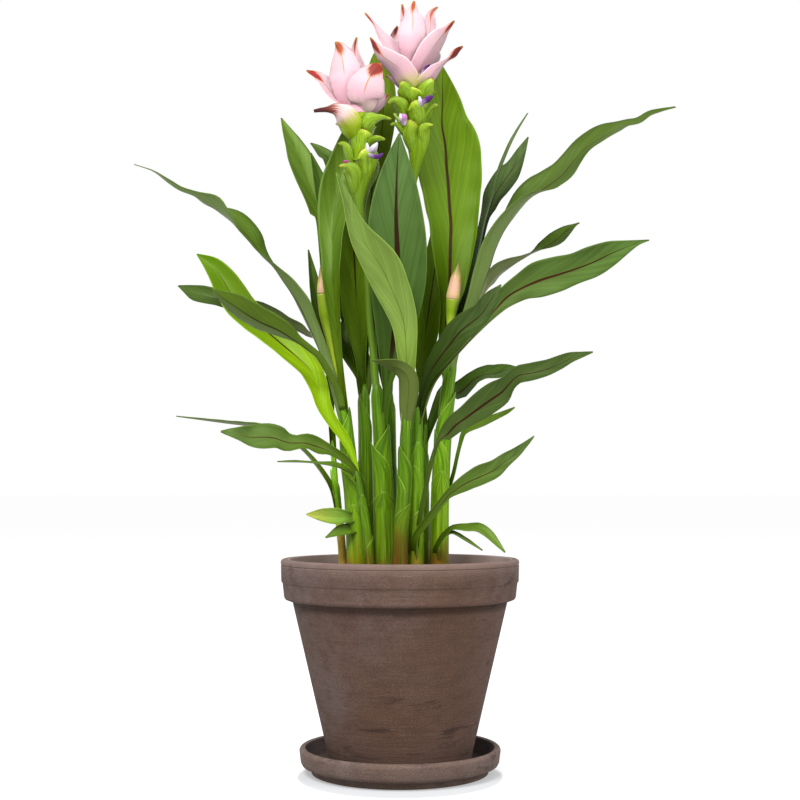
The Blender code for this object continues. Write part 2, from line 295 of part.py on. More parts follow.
# A flower head's axis holds (x, z, depth, radius): its scape, then the thick green core under the green
# bracts, up to the split; then the core inside the pink bracts. Each bract is drawn as a leaf is.
BLOOMS = {
    "bloom_left": Bloom(
        [(-20.5, 330, -2, 3), (-23.5, 362, -2, 3), (-27, 400, -2, 3), (-29.5, 440, -3, 3),
         (-33, 475, -4, 3.2), (-35, 500, -6, 4.5), (-34.5, 518, -7, 7), (-33.5, 535, -8, 9.5),
         (-34.5, 555, -9, 11), (-36, 569, -9, 11.5), (-37.5, 583, -9, 10.5)],
        [(-37.6, 583.7, -9, 9), (-39, 597, -9, 8), (-40.5, 611, -9, 5.5), (-42, 625, -9, 2)],
        "shoot_middle",
        [
            Leaf("cup_top_front", [(-39.5, 563, -16, 180, 7), (-40.5, 568, -22, 180, 8.5),
                 (-43, 573.5, -30, 180, 8), (-44, 576.5, -35, 180, 3)], 0.0, 0.0, BRACT_CURL),
            Leaf("rim_top_right", [(-31, 564, -10, -150, 7), (-29.5, 571, -15, -140, 9.3),
                 (-23.5, 579, -17, -125, 8.2), (-17, 580.5, -16, -110, 4.8),
                 (-6.5, 580.5, -14, -95, 0.6)], 0.0, 0.0, BRACT_CURL),
            Leaf("apron_left", [(-41.5, 565, -16, 150, 6), (-44, 578.5, -23, 145, 9.2),
                 (-51.5, 586.5, -27, 140, 8.1), (-60.5, 589.5, -28, 130, 4.5),
                 (-71, 588.5, -27, 120, 1.9), (-77.5, 587, -26, 110, 0.6)], 0.0, 0.0, BRACT_CURL),
            Leaf("rim_mid_left", [(-38.5, 542, -12, 140, 5), (-42, 550.5, -16, 135, 4.4),
                 (-48.5, 556.5, -18, 120, 3.4), (-55.5, 558, -18, 105, 0.6)], 0.0, 0.0, BRACT_CURL),
            Leaf("rim_mid_right", [(-34.5, 544, -12, -140, 5), (-27, 552.5, -15, -135, 3.7),
                 (-22.5, 560.5, -16, -115, 3.3), (-12, 563, -14, -100, 0.6)], 0.0, 0.0, BRACT_CURL),
            Leaf("cup_middle", [(-36.5, 537.5, -14, 180, 6), (-36.5, 544, -20, 180, 7.5),
                 (-37, 548.5, -26, 180, 6.5), (-37.5, 551, -31, 180, 2.5)], 0.0, 0.0, BRACT_CURL),
            Leaf("rim_low_left", [(-36, 523, -10, 140, 4.5), (-37, 530.5, -14, 140, 4.9),
                 (-44, 537, -17, 120, 4.3), (-55, 537, -17, 105, 0.6)], 0.0, 0.0, BRACT_CURL),
            Leaf("rim_low_right", [(-33, 525, -8, -140, 4.5), (-26.5, 534, -11, -135, 3.7),
                 (-23, 541.5, -12, -120, 2.4), (-18.5, 544, -12, -105, 0.6)], 0.0, 0.0, BRACT_CURL),
            Leaf("rim_top_rear", [(-36.5, 565, 0, -20, 7), (-34.5, 572.5, 8, -20, 9),
                 (-31, 578.5, 16, -20, 7), (-28, 583, 25, -20, 0.6)], 0.0, 0.0, BRACT_CURL),
            Leaf("rim_low_rear", [(-37.5, 542, -1, 10, 6), (-39.5, 549, 8, 10, 8),
                 (-41.5, 554.5, 15, 10, 6), (-43, 557.5, 23, 10, 0.6)], 0.0, 0.0, BRACT_CURL),
            Leaf("floret_right", [(-31, 543, -13, -150, 3), (-27.5, 548, -19, -150, 5),
                 (-23, 553, -24, -150, 6.5), (-19, 557, -27, -150, 3)], 0.0, 0.0, BRACT_CURL),
            Leaf("floret_left", [(-40, 535.5, -12, 150, 2), (-43.5, 538, -18, 150, 3),
                 (-47, 540.5, -21, 150, 2.5), (-49, 542, -22, 150, 1)], 0.0, 0.0, BRACT_CURL),
        ],
        [
            Leaf("front_right", [(-35, 586, -14, 178, 5), (-32, 592, -19, 178, 9.8),
                 (-32.3, 599.5, -24, 174, 15.6), (-29.7, 610, -27, 170, 16.5), (-25, 620.3, -27, 166, 12.3),
                 (-21.5, 625.5, -26, 164, 8), (-18.8, 628.6, -25, 162, 4.6),
                 (-16.6, 630.4, -24, 160, 0.6)], 0.0, 0.0, BRACT_CURL),
            Leaf("upright_left", [(-43, 590, -9, 172, 5), (-47.5, 599, -12, 170, 9.5),
                 (-49.5, 610.5, -14, 168, 12.6), (-49.3, 622, -14, 168, 14.8), (-51.3, 634, -12, 170, 12),
                 (-53.6, 643.2, -9, 172, 7.2), (-56, 647.8, -7, 174, 3.8),
                 (-58.6, 650.4, -6, 176, 0.6)], 0.0, 0.0, BRACT_CURL),
            Leaf("far_left", [(-43, 590, -7, 50, 5), (-51.5, 598, -6, 48, 6), (-58.8, 604.7, -5, 46, 6.6),
                 (-64.6, 611.5, -5, 46, 6.4), (-70.1, 617.1, -6, 48, 4.8), (-76.8, 621.2, -7, 50, 2.8),
                 (-81.4, 623, -8, 50, 1.6), (-84.5, 624.6, -9, 50, 0.6)], 0.0, 0.0, BRACT_CURL),
            Leaf("rear_right", [(-37, 592.5, -6, -30, 5), (-34.5, 605, 2, -26, 6.5),
                 (-36, 616.5, 6, -22, 7), (-37.7, 627, 8, -18, 6.2), (-40.7, 638, 9, -10, 4.8),
                 (-40.9, 646.5, 9, -4, 2.4), (-39.2, 655, 8, 0, 0.6)], 0.0, 0.0, BRACT_CURL),
            Leaf("rear_middle", [(-39, 592, -6, 0, 5), (-41, 605, 8, 0, 8), (-43, 617.5, 13, 4, 9.5),
                 (-45.5, 630, 16, 6, 8.5), (-47.5, 640, 17, 8, 5.5),
                 (-52.5, 648.5, 18, 10, 0.6)], 0.0, 0.0, BRACT_CURL),
            Leaf("right_edge", [(-34, 588, -9, -150, 4), (-27, 588.5, -12, -150, 4.6),
                 (-20, 592.5, -13, -150, 4.5), (-14.5, 597.5, -13, -150, 3),
                 (-11, 603, -12, -150, 0.6)], 0.0, 0.0, BRACT_CURL),
            Leaf("rear_left_low", [(-39, 591, -6, 30, 5), (-43.5, 599.5, 10, 30, 8),
                 (-48, 608, 24, 34, 8), (-51, 615.5, 37, 36, 5),
                 (-53, 620.5, 46, 38, 0.6)], 0.0, 0.0, BRACT_CURL),
            Leaf("rear_right_low", [(-37.5, 591, -6, -30, 5), (-31, 598.5, 10, -34, 8),
                 (-27, 606, 22, -36, 8), (-24, 613, 33, -38, 5),
                 (-22, 618.5, 42, -40, 0.6)], 0.0, 0.0, BRACT_CURL),
        ],
    ),
    "bloom_right": Bloom(
        [(7, 326, 6, 3), (5, 365, 7, 3), (4.5, 410, 8, 3), (5, 455, 8, 3), (8, 500, 8, 3.2),
         (13, 530, 7, 4), (15.5, 552, 6, 7.5), (15.5, 578, 5, 10), (15, 592, 4.5, 10.5),
         (14.5, 606, 4, 10.5)],
        [(14.5, 606.7, 4, 9.5), (14, 622, 3.5, 8), (13.5, 638, 3, 5), (13, 652, 2.5, 2)],
        "shoot_middle_rear",
        [
            Leaf("cup_top_front", [(14.5, 594, -1, 180, 8), (14.5, 599.5, -9, 180, 11),
                 (14, 605.5, -14, 180, 12), (14, 609, -18, 180, 9),
                 (14, 611, -20, 180, 3)], 0.0, 0.0, BRACT_CURL),
            Leaf("rim_high_left", [(11.5, 578, 0, 140, 5), (6, 589.5, -7, 140, 5.3),
                 (-2.5, 596, -10, 125, 5), (-11, 593, -10, 105, 0.6)], 0.0, 0.0, BRACT_CURL),
            Leaf("rim_high_right", [(17.5, 578.5, -3, -140, 5), (22.5, 586.5, -7, -135, 4),
                 (27.5, 591.5, -9, -115, 2), (34, 592, -9, -100, 0.6)], 0.0, 0.0, BRACT_CURL),
            Leaf("curl_high_right", [(19.5, 596.5, 0, -120, 5), (23.5, 601, -3, -115, 5),
                 (27, 604.5, -4, -105, 4), (32.5, 605.5, -5, -95, 0.6)], 0.0, 0.0, BRACT_CURL),
            Leaf("cup_high_middle", [(14, 580.5, 0, 180, 6), (13.5, 588, -12, 180, 7),
                 (13.5, 592.5, -18, 180, 6), (13.5, 595, -22, 180, 2.5)], 0.0, 0.0, BRACT_CURL),
            Leaf("rim_mid_left", [(12.5, 561.5, 2, 140, 5), (6.5, 571.5, -6, 135, 4),
                 (-0.5, 573.5, -8, 115, 2.2), (-8, 574.5, -8, 100, 0.6)], 0.0, 0.0, BRACT_CURL),
            Leaf("rim_mid_right", [(16, 557, 2, -140, 5), (18.5, 564.5, -6, -140, 3.3),
                 (21.5, 571.5, -8, -120, 3.1), (30.5, 574, -8, -100, 0.6)], 0.0, 0.0, BRACT_CURL),
            Leaf("cup_low", [(14.5, 552.5, 2, 180, 5), (14, 558.5, -9, 180, 7),
                 (13.5, 565, -14, 180, 6.5), (13, 568.5, -18, 180, 2.5)], 0.0, 0.0, BRACT_CURL),
            Leaf("rim_rear", [(14.5, 590, 10, 0, 6), (15, 597.5, 19, 0, 9), (16, 604, 28, 0, 7),
                 (16.5, 607.5, 36, 0, 0.6)], 0.0, 0.0, BRACT_CURL),
            Leaf("rim_rear_low", [(13.5, 565, 9, 20, 5), (11, 571, 17, 20, 7), (9, 576.5, 24, 20, 5.5),
                 (7, 579.5, 31, 20, 0.6)], 0.0, 0.0, BRACT_CURL),
            Leaf("floret_high", [(19, 588, -1, -140, 3), (22, 591.5, -10, -140, 4.5),
                 (26, 595, -15, -140, 5), (29, 598, -17, -140, 2)], 0.0, 0.0, BRACT_CURL),
            Leaf("floret_middle", [(10, 570, -3, 150, 3), (6.5, 575, -12, 150, 4),
                 (3.5, 579, -16, 150, 4), (1, 582, -17, 150, 1.5)], 0.0, 0.0, BRACT_CURL),
        ],
        [
            Leaf("upright_front", [(10, 627, -4, 180, 4.5), (8.2, 637, -8, 180, 6.5),
                 (9, 646, -11, 180, 10.3), (11, 659, -12, 180, 12.9), (11.8, 671, -8, 180, 10.7),
                 (11.2, 678, -5, 180, 7), (12, 683.3, -2, 180, 3.4),
                 (12.8, 688.4, 0, 180, 0.6)], 0.0, 0.0, BRACT_CURL),
            Leaf("front_left", [(12, 612.5, -7, 174, 6.5), (6.5, 619, -14, 170, 10.4),
                 (0.5, 626.5, -19, 165, 10.4), (-6, 632, -22, 160, 9), (-13.9, 638, -24, 156, 7.3),
                 (-21, 645.4, -25, 152, 3.6), (-24.2, 650.5, -26, 150, 1.7),
                 (-26.9, 654.7, -26, 148, 0.6)], 0.0, 0.0, BRACT_CURL),
            Leaf("left_long", [(9, 627, 0, 50, 4), (1, 639.5, -3, 50, 5.4), (-7.3, 647.5, -5, 50, 5.4),
                 (-13.8, 654, -7, 52, 4.8), (-18.8, 661, -8, 54, 3), (-22.8, 667, -9, 56, 1.6),
                 (-27.2, 672.5, -10, 58, 1.1), (-31.7, 677.5, -11, 60, 0.6)], 0.0, 0.0, BRACT_CURL),
            Leaf("right_long", [(13.5, 620, -4, -155, 6), (18.5, 631.5, -8, -152, 8),
                 (27.5, 645.5, -11, -150, 9.2), (35.5, 656, -12, -148, 7.2), (42, 662.7, -13, -146, 3.3),
                 (45.7, 666.5, -13, -146, 1.8), (49.2, 670.3, -13, -146, 0.6)], 0.0, 0.0, BRACT_CURL),
            Leaf("low_right", [(15.5, 612, -5, -160, 5), (23, 618.2, -13, -155, 5.8),
                 (30.5, 624.4, -16, -150, 5.2), (37.5, 630.6, -17, -140, 2.6), (43.5, 635.2, -17, -130, 1.6),
                 (48.5, 639.7, -17, -140, 3), (52.9, 644, -17, -140, 2),
                 (56.8, 646.6, -17, -140, 0.6)], 0.0, 0.0, BRACT_CURL),
            Leaf("rear_right", [(17.5, 626, 8, -30, 5), (21, 640, 13, -28, 7), (24.5, 655, 16, -24, 7.4),
                 (27, 665, 17, -22, 5.8), (27.2, 674, 17, -20, 4.6), (29.7, 679.2, 17, -20, 2.1),
                 (34.2, 683, 16, -20, 0.6)], 0.0, 0.0, BRACT_CURL),
            Leaf("rear_left", [(6, 628, 6, 30, 5), (0, 640, 10, 30, 6.8), (-4, 651, 13, 32, 5.6),
                 (-3.8, 658.5, 14, 32, 3.4), (-2.1, 665.3, 14, 32, 0.6)], 0.0, 0.0, BRACT_CURL),
            Leaf("rear_top", [(11.5, 628, 8, 0, 5), (9, 643, 15, 4, 7), (6.5, 657.5, 18, 8, 6.5),
                 (3.5, 674.5, 18, 12, 3.1), (2, 685.5, 17, 14, 0.6)], 0.0, 0.0, BRACT_CURL),
            Leaf("left_low", [(9, 614.5, -1, 150, 3.5), (1, 611.2, -4, 150, 2.4), (-5.5, 615.5, -6, 150, 2.4),
                 (-13, 619.6, -7, 150, 0.6)], 0.0, 0.0, BRACT_CURL),
            Leaf("rear_low_left", [(11.5, 615.5, 7, 30, 5), (3, 625, 18, 32, 8), (-4, 634.5, 26, 34, 7.5),
                 (-10.5, 643, 31, 36, 4), (-14.8, 648.3, 34, 38, 0.6)], 0.0, 0.0, BRACT_CURL),
            Leaf("rear_low_right", [(16, 615.5, 7, -30, 5), (21.5, 624, 22, -34, 8),
                 (26, 632.5, 33, -36, 8), (29.5, 639, 43, -38, 5),
                 (32, 644, 50, -40, 0.6)], 0.0, 0.0, BRACT_CURL),
        ],
    ),
}

Bud = namedtuple("Bud", "axis socket_in half_width green_share")
BUDS = {
    "bud_left": Bud(
        [(-51, 318, 2), (-55.5, 342, 2), (-59.5, 364, 2), (-63.5, 384, 2), (-67.5, 404, 1),
         (-70, 424, 0), (-71, 447, 0)], "shoot_left", 5.2, 0.8),
    "bud_right": Bud(
        [(46, 360, 2), (46, 376, 0), (45, 392, -2), (46, 408, -3), (49, 428, -4), (52.5, 449, -4)],
        "shoot_right", 6.2, 0.62),
}


def from_drawing(x, z, depth):
    """The drawn point, moved along its line of sight to its depth, in metres."""
    reach = (EYE_DISTANCE + depth) / EYE_DISTANCE
    return Vector((x * reach, depth, EYE_HEIGHT + (z - EYE_HEIGHT) * reach)) * MM


def smooth_run(points, count):
    """Stations evenly spaced along one smooth curve through the points. Columns 0 to 2 are the place."""
    points = np.array(points, float)
    ends = np.vstack([2 * points[0] - points[1], points, 2 * points[-1] - points[-2]])
    dense = []
    for i in range(1, len(ends) - 2):
        before, a, b, after = ends[i - 1 : i + 3]
        for t in np.linspace(0, 1, SPAN_STEPS, endpoint=False):
            dense.append(0.5 * (2 * a + (b - before) * t + (2 * before - 5 * a + 4 * b - after) * t**2
                                + (3 * a - before - 3 * b + after) * t**3))
    dense = np.array([*dense, points[-1]])
    steps = np.linalg.norm(np.diff(dense[:, :3], axis=0), axis=1)
    along = np.concatenate([[0], np.cumsum(steps)])
    wanted = np.linspace(0, along[-1], count)
    run = np.column_stack([np.interp(wanted, along, column) for column in dense.T])
    return run, along[-1]


def directions(run):
    """The unit direction of travel at each station."""
    ahead = np.gradient(run[:, :3], axis=0)
    return ahead / np.linalg.norm(ahead, axis=1)[:, None]


def ribbon(stations, across):
    """A closed thin solid. Each station is (middle, side, up, half width, curl, fold, rib, lift of the
    edges), in metres; both faces share one grid and one way of splitting it into triangles."""
    mesh = bmesh.new()
    rings = []
    shares = np.linspace(-1, 1, across + 1)
    for middle, side, up, half_width, curl, fold, rib, waves in stations:
        upper, lower = [], []
        for u, wave in zip(shares, waves):
            angle = max(curl, 1e-3) * u
            reach = half_width / max(curl, 1e-3)
            rise = fold * half_width * (math.hypot(u, FOLD_SOFTNESS) - FOLD_SOFTNESS)
            out = side * (reach * math.sin(angle)) + up * (reach * (1 - math.cos(angle)) + rise + wave)
            slope = angle + math.atan(fold * u / math.hypot(u, FOLD_SOFTNESS))
            face = up * math.cos(slope) - side * math.sin(slope)
            thick = EDGE_THICKNESS * MM + (rib - EDGE_THICKNESS * MM) * (1 - abs(u))
            upper.append(mesh.verts.new(middle + out))
            lower.append(mesh.verts.new(middle + out - face * thick))
        rings.append((upper, lower))

    def strip(a, b, c, d):
        mesh.faces.new((a, b, c))
        mesh.faces.new((a, c, d))

    for (upper, lower), (next_upper, next_lower) in zip(rings, rings[1:]):
        for i in range(across):
            strip(upper[i], upper[i + 1], next_upper[i + 1], next_upper[i])
            mesh.faces.new((lower[i], next_lower[i + 1], lower[i + 1]))
            mesh.faces.new((lower[i], next_lower[i], next_lower[i + 1]))
        strip(upper[0], next_upper[0], next_lower[0], lower[0])
        strip(upper[-1], lower[-1], next_lower[-1], next_upper[-1])
    for upper, lower in (rings[0], rings[-1]):
        for i in range(across):
            strip(upper[i], lower[i], lower[i + 1], upper[i + 1])
    bmesh.ops.recalc_face_normals(mesh, faces=mesh.faces)
    return mesh


def tube(points, radii, sides):
    """A closed round tube along points in metres, with a radius in metres at each."""
    mesh = bmesh.new()
    run = np.array(points, float)
    ahead = directions(run)
    rings = []
    for place, along, radius in zip(run, ahead, radii):
        side = Vector(np.cross(along, (0, 1, 0))).normalized()
        front = side.cross(Vector(along))
        rings.append([
            mesh.verts.new(Vector(place) + (side * math.cos(a) + front * math.sin(a)) * radius)
            for a in np.linspace(0, 2 * math.pi, sides, endpoint=False)
        ])
    for ring, following in zip(rings, rings[1:]):
        for i in range(sides):
            j = (i + 1) % sides
            mesh.faces.new((ring[i], ring[j], following[j], following[i]))
    mesh.faces.new(rings[0][::-1])
    mesh.faces.new(rings[-1])
    bmesh.ops.recalc_face_normals(mesh, faces=mesh.faces)
    return mesh


def turned(profile):
    """A closed turned solid from (radius, height) points in millimetres, round the Z axis."""
    mesh = bmesh.new()
    loop = [mesh.verts.new((r * MM, 0, h * MM)) for r, h in profile]
    edges = [mesh.edges.new((a, b)) for a, b in zip(loop, loop[1:] + loop[:1])]
    if profile[0][0] == 0:
        mesh.edges.remove(edges.pop())
    bmesh.ops.spin(mesh, geom=loop + edges, cent=(0, 0, 0), axis=(0, 0, 1), angle=2 * math.pi,
                   steps=TURNED_SIDES, use_merge=True)
    bmesh.ops.remove_doubles(mesh, verts=mesh.verts, dist=0.01 * MM)
    bmesh.ops.recalc_face_normals(mesh, faces=mesh.faces)
    return mesh


def new_object(name, mesh, material=None):
    """The mesh as an object in the scene, in its material."""
    data = bpy.data.meshes.new(name)
    mesh.to_mesh(data)
    mesh.free()
    if material:
        data.materials.append(material)
    thing = bpy.data.objects.new(name, data)
    bpy.context.scene.collection.objects.link(thing)
    return thing


def apply_modifiers(thing):
    """Keeps the mesh as its modifiers leave it."""
    graph = bpy.context.evaluated_depsgraph_get()
    shaped = bpy.data.meshes.new_from_object(thing.evaluated_get(graph))
    thing.modifiers.clear()
    thing.data = shaped


def fuse(thing, pieces):
    """Joins the pieces to the thing by one union and removes them."""
    group = bpy.data.collections.new(thing.name + "_pieces")
    for piece in pieces:
        group.objects.link(piece)
    union = thing.modifiers.new("grown together", "BOOLEAN")
    union.operation = "UNION"
    union.operand_type = "COLLECTION"
    union.collection = group
    union.solver = "MANIFOLD"
    apply_modifiers(thing)
    for piece in pieces:
        bpy.data.objects.remove(piece)
    bpy.data.collections.remove(group)
    fill_bubbles(thing)


def fill_bubbles(thing):
    """Takes away the skins of the small closed hollows that crossing blades leave between them."""
    mesh = bmesh.new()
    mesh.from_mesh(thing.data)
    waiting = set(mesh.faces)
    while waiting:
        shell, open_faces = set(), [waiting.pop()]
        while open_faces:
            face = open_faces.pop()
            shell.add(face)
            for edge in face.edges:
                for other in edge.link_faces:
                    if other in waiting:
                        waiting.discard(other)
                        open_faces.append(other)
        volume = 0.0
        for face in shell:
            first = face.verts[0].co
            for a, b in zip(face.verts[1:], face.verts[2:]):
                volume += first.dot(a.co.cross(b.co)) / 6
        if volume < LEAST_BODY * MM**3:
            bmesh.ops.delete(mesh, geom=list(shell), context="FACES")
    mesh.to_mesh(thing.data)
    mesh.free()


def cut(thing, cutter):
    """Takes the cutter's shape out of the thing and removes the cutter."""
    hole = thing.modifiers.new("hole", "BOOLEAN")
    hole.operation = "DIFFERENCE"
    hole.object = cutter
    hole.solver = "MANIFOLD"
    apply_modifiers(thing)
    bpy.data.objects.remove(cutter)


def finish_of(name, colour, roughness):
    """A plain Principled material."""
    material = bpy.data.materials.new(name)
    material.use_nodes = True
    shader = material.node_tree.nodes["Principled BSDF"]
    shader.inputs["Base Color"].default_value = (*colour, 1.0)
    shader.inputs["Roughness"].default_value = roughness
    shader.inputs["Metallic"].default_value = 0.0
    return material


def outline_offsets(side, up, half_width, curl, fold):
    """Where the left and right edges lie from the middle of the blade."""
    offsets = []
    for u in (-1, 1):
        angle = max(curl, 1e-3) * u
        reach = half_width / max(curl, 1e-3)
        rise = fold * half_width * (math.hypot(1, FOLD_SOFTNESS) - FOLD_SOFTNESS)
        offsets.append(side * (reach * math.sin(angle)) + up * (reach * (1 - math.cos(angle)) + rise))
    return offsets


def leaf_stations(leaf):
    """The leaf's stations for ribbon(), from its root to its tip.

    The drawn half width is the one that the eye sees, and the route is the middle of the outline that
    the eye sees, so a turned or folded blade is widened and moved across until both are met."""
    drawn = [[*from_drawing(x, z, depth), roll, half * MM] for x, z, depth, roll, half in leaf.route]
    length = smooth_run(drawn, 2)[1]
    broad = max(point[4] for point in leaf.route) > 6
    spacing = STATION_SPACING if broad else NARROW_SPACING
    if leaf.curl >= BRACT_CURL:
        spacing = BRACT_SPACING
    count = max(4 if leaf.curl >= BRACT_CURL else 7, round(length / (spacing * MM)) + 1)
    run, length = smooth_run(drawn, count)
    ahead = directions(run)
    seen = np.maximum(run[:, 4], TIP_HALF_WIDTH * MM)
    opening = np.clip((np.maximum.accumulate(seen) / seen.max() - 0.25) / 0.5, 0, 1)
    stations = []
    for i, (place, along) in enumerate(zip(run, ahead)):
        share = i / (count - 1)
        middle, along = Vector(place[:3]), Vector(along)
        to_eye = Vector((0, -EYE_DISTANCE, EYE_HEIGHT)) * MM - middle
        facing = (to_eye - along * to_eye.dot(along)).normalized()
        across = along.cross(facing)
        roll = math.radians(place[3])
        up = facing * math.cos(roll) + across * math.sin(roll)
        side = along.cross(up)
        curl = leaf.curl if leaf.curl >= BRACT_CURL else ROLLED_CURL - (ROLLED_CURL - leaf.curl) * opening[i]
        fold = leaf.fold * opening[i]
        left, right = outline_offsets(side, up, seen[i], curl, fold)
        shown = abs((right - left).dot(across)) / (2 * seen[i])
        half_width = seen[i] / max(shown, LEAST_SHOWN)
        left, right = outline_offsets(side, up, half_width, curl, fold)
        middle = middle - across * ((left + right).dot(across) / 2)
        rib = max(RIB_THICKNESS * (1.3 - 0.7 * share), EDGE_THICKNESS) * MM
        turn = 2 * math.pi * 3 * share
        waves = [leaf.wave * MM * u * u * math.sin(turn + (0.9 if u > 0 else 0.0)) * opening[i]
                 for u in np.linspace(-1, 1, blades_across(leaf) + 1)]
        stations.append((middle, side, up, half_width, curl, fold, rib, waves))
    return stations


def blades_across(leaf):
    """Broad blades have four strips across and narrow ones two."""
    return 4 if max(point[4] for point in leaf.route) > 15 else 2


def grow_shoot(name, shoot, material):
    """One leafy shoot: its stem of rolled sheaths with every leaf fused to it."""
    stem_points = [[*from_drawing(*point)] for point in shoot.stem]
    length = smooth_run(stem_points, 2)[1]
    count = max(5, round(length / (STEM_SPACING * MM)))
    run, _ = smooth_run(stem_points, count)
    radii = np.linspace(shoot.foot_radius, shoot.top_radius, count) * MM
    stem = new_object(name, tube(run[:, :3], radii, STEM_SIDES), material)
    leaves = [new_object(leaf.name, ribbon(leaf_stations(leaf), blades_across(leaf)))
              for leaf in shoot.leaves]
    fuse(stem, leaves)
    return stem


def grow_head(name, core, bracts, material):
    """A core along drawn (x, z, depth, radius) points, with its bracts fused to it."""
    drawn = [[*from_drawing(x, z, depth), radius * MM] for x, z, depth, radius in core]
    length = smooth_run(drawn, 2)[1]
    run, _ = smooth_run(drawn, max(4, round(length / (CORE_SPACING * MM))))
    body = new_object(name, tube(run[:, :3], run[:, 3], STEM_SIDES), material)
    fuse(body, [new_object(bract.name, ribbon(leaf_stations(bract), 2)) for bract in bracts])


def grow_bloom(name, bloom, green, pink):
    """A flower head: scape and green bracts in one node, the pink bracts above them in another."""
    grow_head(name + "_green", bloom.axis, bloom.green, green)
    grow_head(name + "_pink", bloom.pink_core, bloom.pink, pink)


def grow_bud(name, bud, green, cream):
    """A closed bud on its scape: the green lower scales in one node, the pale tip in another."""
    run, length = smooth_run([[*from_drawing(*point)] for point in bud.axis], 17)
    shares = np.linspace(0, 1, 17)
    swell = np.interp(shares, [0, 0.35, 0.5, 0.66, 0.84, 0.95, 1],
                      [SCAPE_RADIUS, SCAPE_RADIUS, 0.7 * bud.half_width, bud.half_width,
                       0.8 * bud.half_width, 0.34 * bud.half_width, 0.5])
    parted = round(bud.green_share * 16)
    new_object(name + "_green", tube(run[: parted + 1, :3], swell[: parted + 1] * MM, STEM_SIDES), green)
    gap = directions(run)[parted] * SEAT_GAP * MM
    tip = run[parted:, :3].copy()
    tip[0] += gap
    new_object(name + "_tip", tube(tip, swell[parted:] * MM, STEM_SIDES), cream)


def socket(shoot_object, axis_points):
    """A round hole in the top of a shoot, in which a scape stands."""
    run, length = smooth_run(axis_points, 40)
    near = run[: max(3, round(40 * 3 * SOCKET_DEPTH * MM / length)), :3].copy()
    near[0] -= directions(run)[0] * 2 * SEAT_GAP * MM
    width = (SCAPE_RADIUS + SOCKET_CLEARANCE) * MM
    cut(shoot_object, new_object("socket", tube(near, [width] * len(near), STEM_SIDES)))


def make_pot(material):
    """The clay pot: a tapered wall, a thick collar with two fine grooves, a floor with a drain hole."""
    def inner(height):
        share = (height - POT_BOTTOM) / (COLLAR_BOTTOM - POT_BOTTOM)
        return POT_FOOT_RADIUS - WALL + share * (BODY_TOP_RADIUS - POT_FOOT_RADIUS)
    profile = [
        (DRAIN_RADIUS, POT_BOTTOM), (POT_FOOT_RADIUS - 1.5, POT_BOTTOM),
        (POT_FOOT_RADIUS, POT_BOTTOM + 1.5), (BODY_TOP_RADIUS, COLLAR_BOTTOM),
        (COLLAR_BOTTOM_RADIUS - 2, COLLAR_BOTTOM + 0.5), (COLLAR_BOTTOM_RADIUS, COLLAR_BOTTOM + 3),
        (COLLAR_BOTTOM_RADIUS + 1.3, COLLAR_BOTTOM + 15), (RIM_RADIUS - 0.4, COLLAR_BOTTOM + 15.8),
        (RIM_RADIUS, RIM_TOP - 2.2), (RIM_RADIUS - 2.0, RIM_TOP), (RIM_RADIUS - WALL + 1.5, RIM_TOP),
        (RIM_RADIUS - WALL, RIM_TOP - 1.6), (inner(COLLAR_BOTTOM) + 2, COLLAR_BOTTOM - 4),
        (inner(POT_BOTTOM + POT_FLOOR + 5), POT_BOTTOM + POT_FLOOR + 5),
        (inner(POT_BOTTOM + POT_FLOOR) - 5, POT_BOTTOM + POT_FLOOR),
        (DRAIN_RADIUS, POT_BOTTOM + POT_FLOOR),
    ]
    return new_object("pot", turned(profile), material), inner


def make_saucer(material):
    """The clay saucer: a flat foot, a wall that flares to a rounded rim, and a flat floor."""
    profile = [
        (0, 0), (SAUCER_FOOT_RADIUS - 1, 0), (SAUCER_FOOT_RADIUS, 1),
        (SAUCER_FOOT_RADIUS, SAUCER_FOOT_HEIGHT),
        (SAUCER_RADIUS - 4.5, SAUCER_FOOT_HEIGHT + 0.6), (SAUCER_RADIUS - 1.2, SAUCER_FOOT_HEIGHT + 4),
        (SAUCER_RADIUS, SAUCER_TOP - 3), (SAUCER_RADIUS - 1.4, SAUCER_TOP - 0.6),
        (SAUCER_RADIUS - 3.2, SAUCER_TOP), (SAUCER_RADIUS - SAUCER_WALL, SAUCER_TOP - 2),
        (SAUCER_RADIUS - SAUCER_WALL - 3, SAUCER_FLOOR + 3), (SAUCER_RADIUS - SAUCER_WALL - 7, SAUCER_FLOOR),
        (0, SAUCER_FLOOR),
    ]
    return new_object("saucer", turned(profile), material)


def make_soil(material, inner):
    """The soil: it fills the pot to just under the rim, heaped a little round the stems."""
    low = POT_BOTTOM + POT_FLOOR + SEAT_GAP
    profile = [
        (0, low), (inner(low) - 6, low), (inner(low + 6) - SOIL_CLEARANCE - 0.2, low + 6),
        (inner(COLLAR_BOTTOM) - SOIL_CLEARANCE, COLLAR_BOTTOM - 6),
        (RIM_RADIUS - WALL - 4.4, SOIL_EDGE_TOP - 1),
        (RIM_RADIUS - WALL - 5.6, SOIL_EDGE_TOP), (70, SOIL_EDGE_TOP + 1.2), (58, SOIL_MIDDLE_TOP - 1.5),
        (40, SOIL_MIDDLE_TOP), (0, SOIL_MIDDLE_TOP),
    ]
    return new_object("soil", turned(profile), material)


def cut_root_holes(soil):
    """A plain hole in the soil for every shoot."""
    for shoot in SHOOTS.values():
        points = [[*from_drawing(*point)] for point in shoot.stem[:2]]
        run = np.array([points[0], points[0], points[1]], float)
        downward = (run[0] - run[2]) / np.linalg.norm(run[0] - run[2])
        run[0] += downward * SEAT_GAP * MM
        run = np.array([run[0], run[2]])
        width = (shoot.foot_radius + ROOT_CLEARANCE) * MM
        cut(soil, new_object("root hole", tube(run, [width, width], 12)))


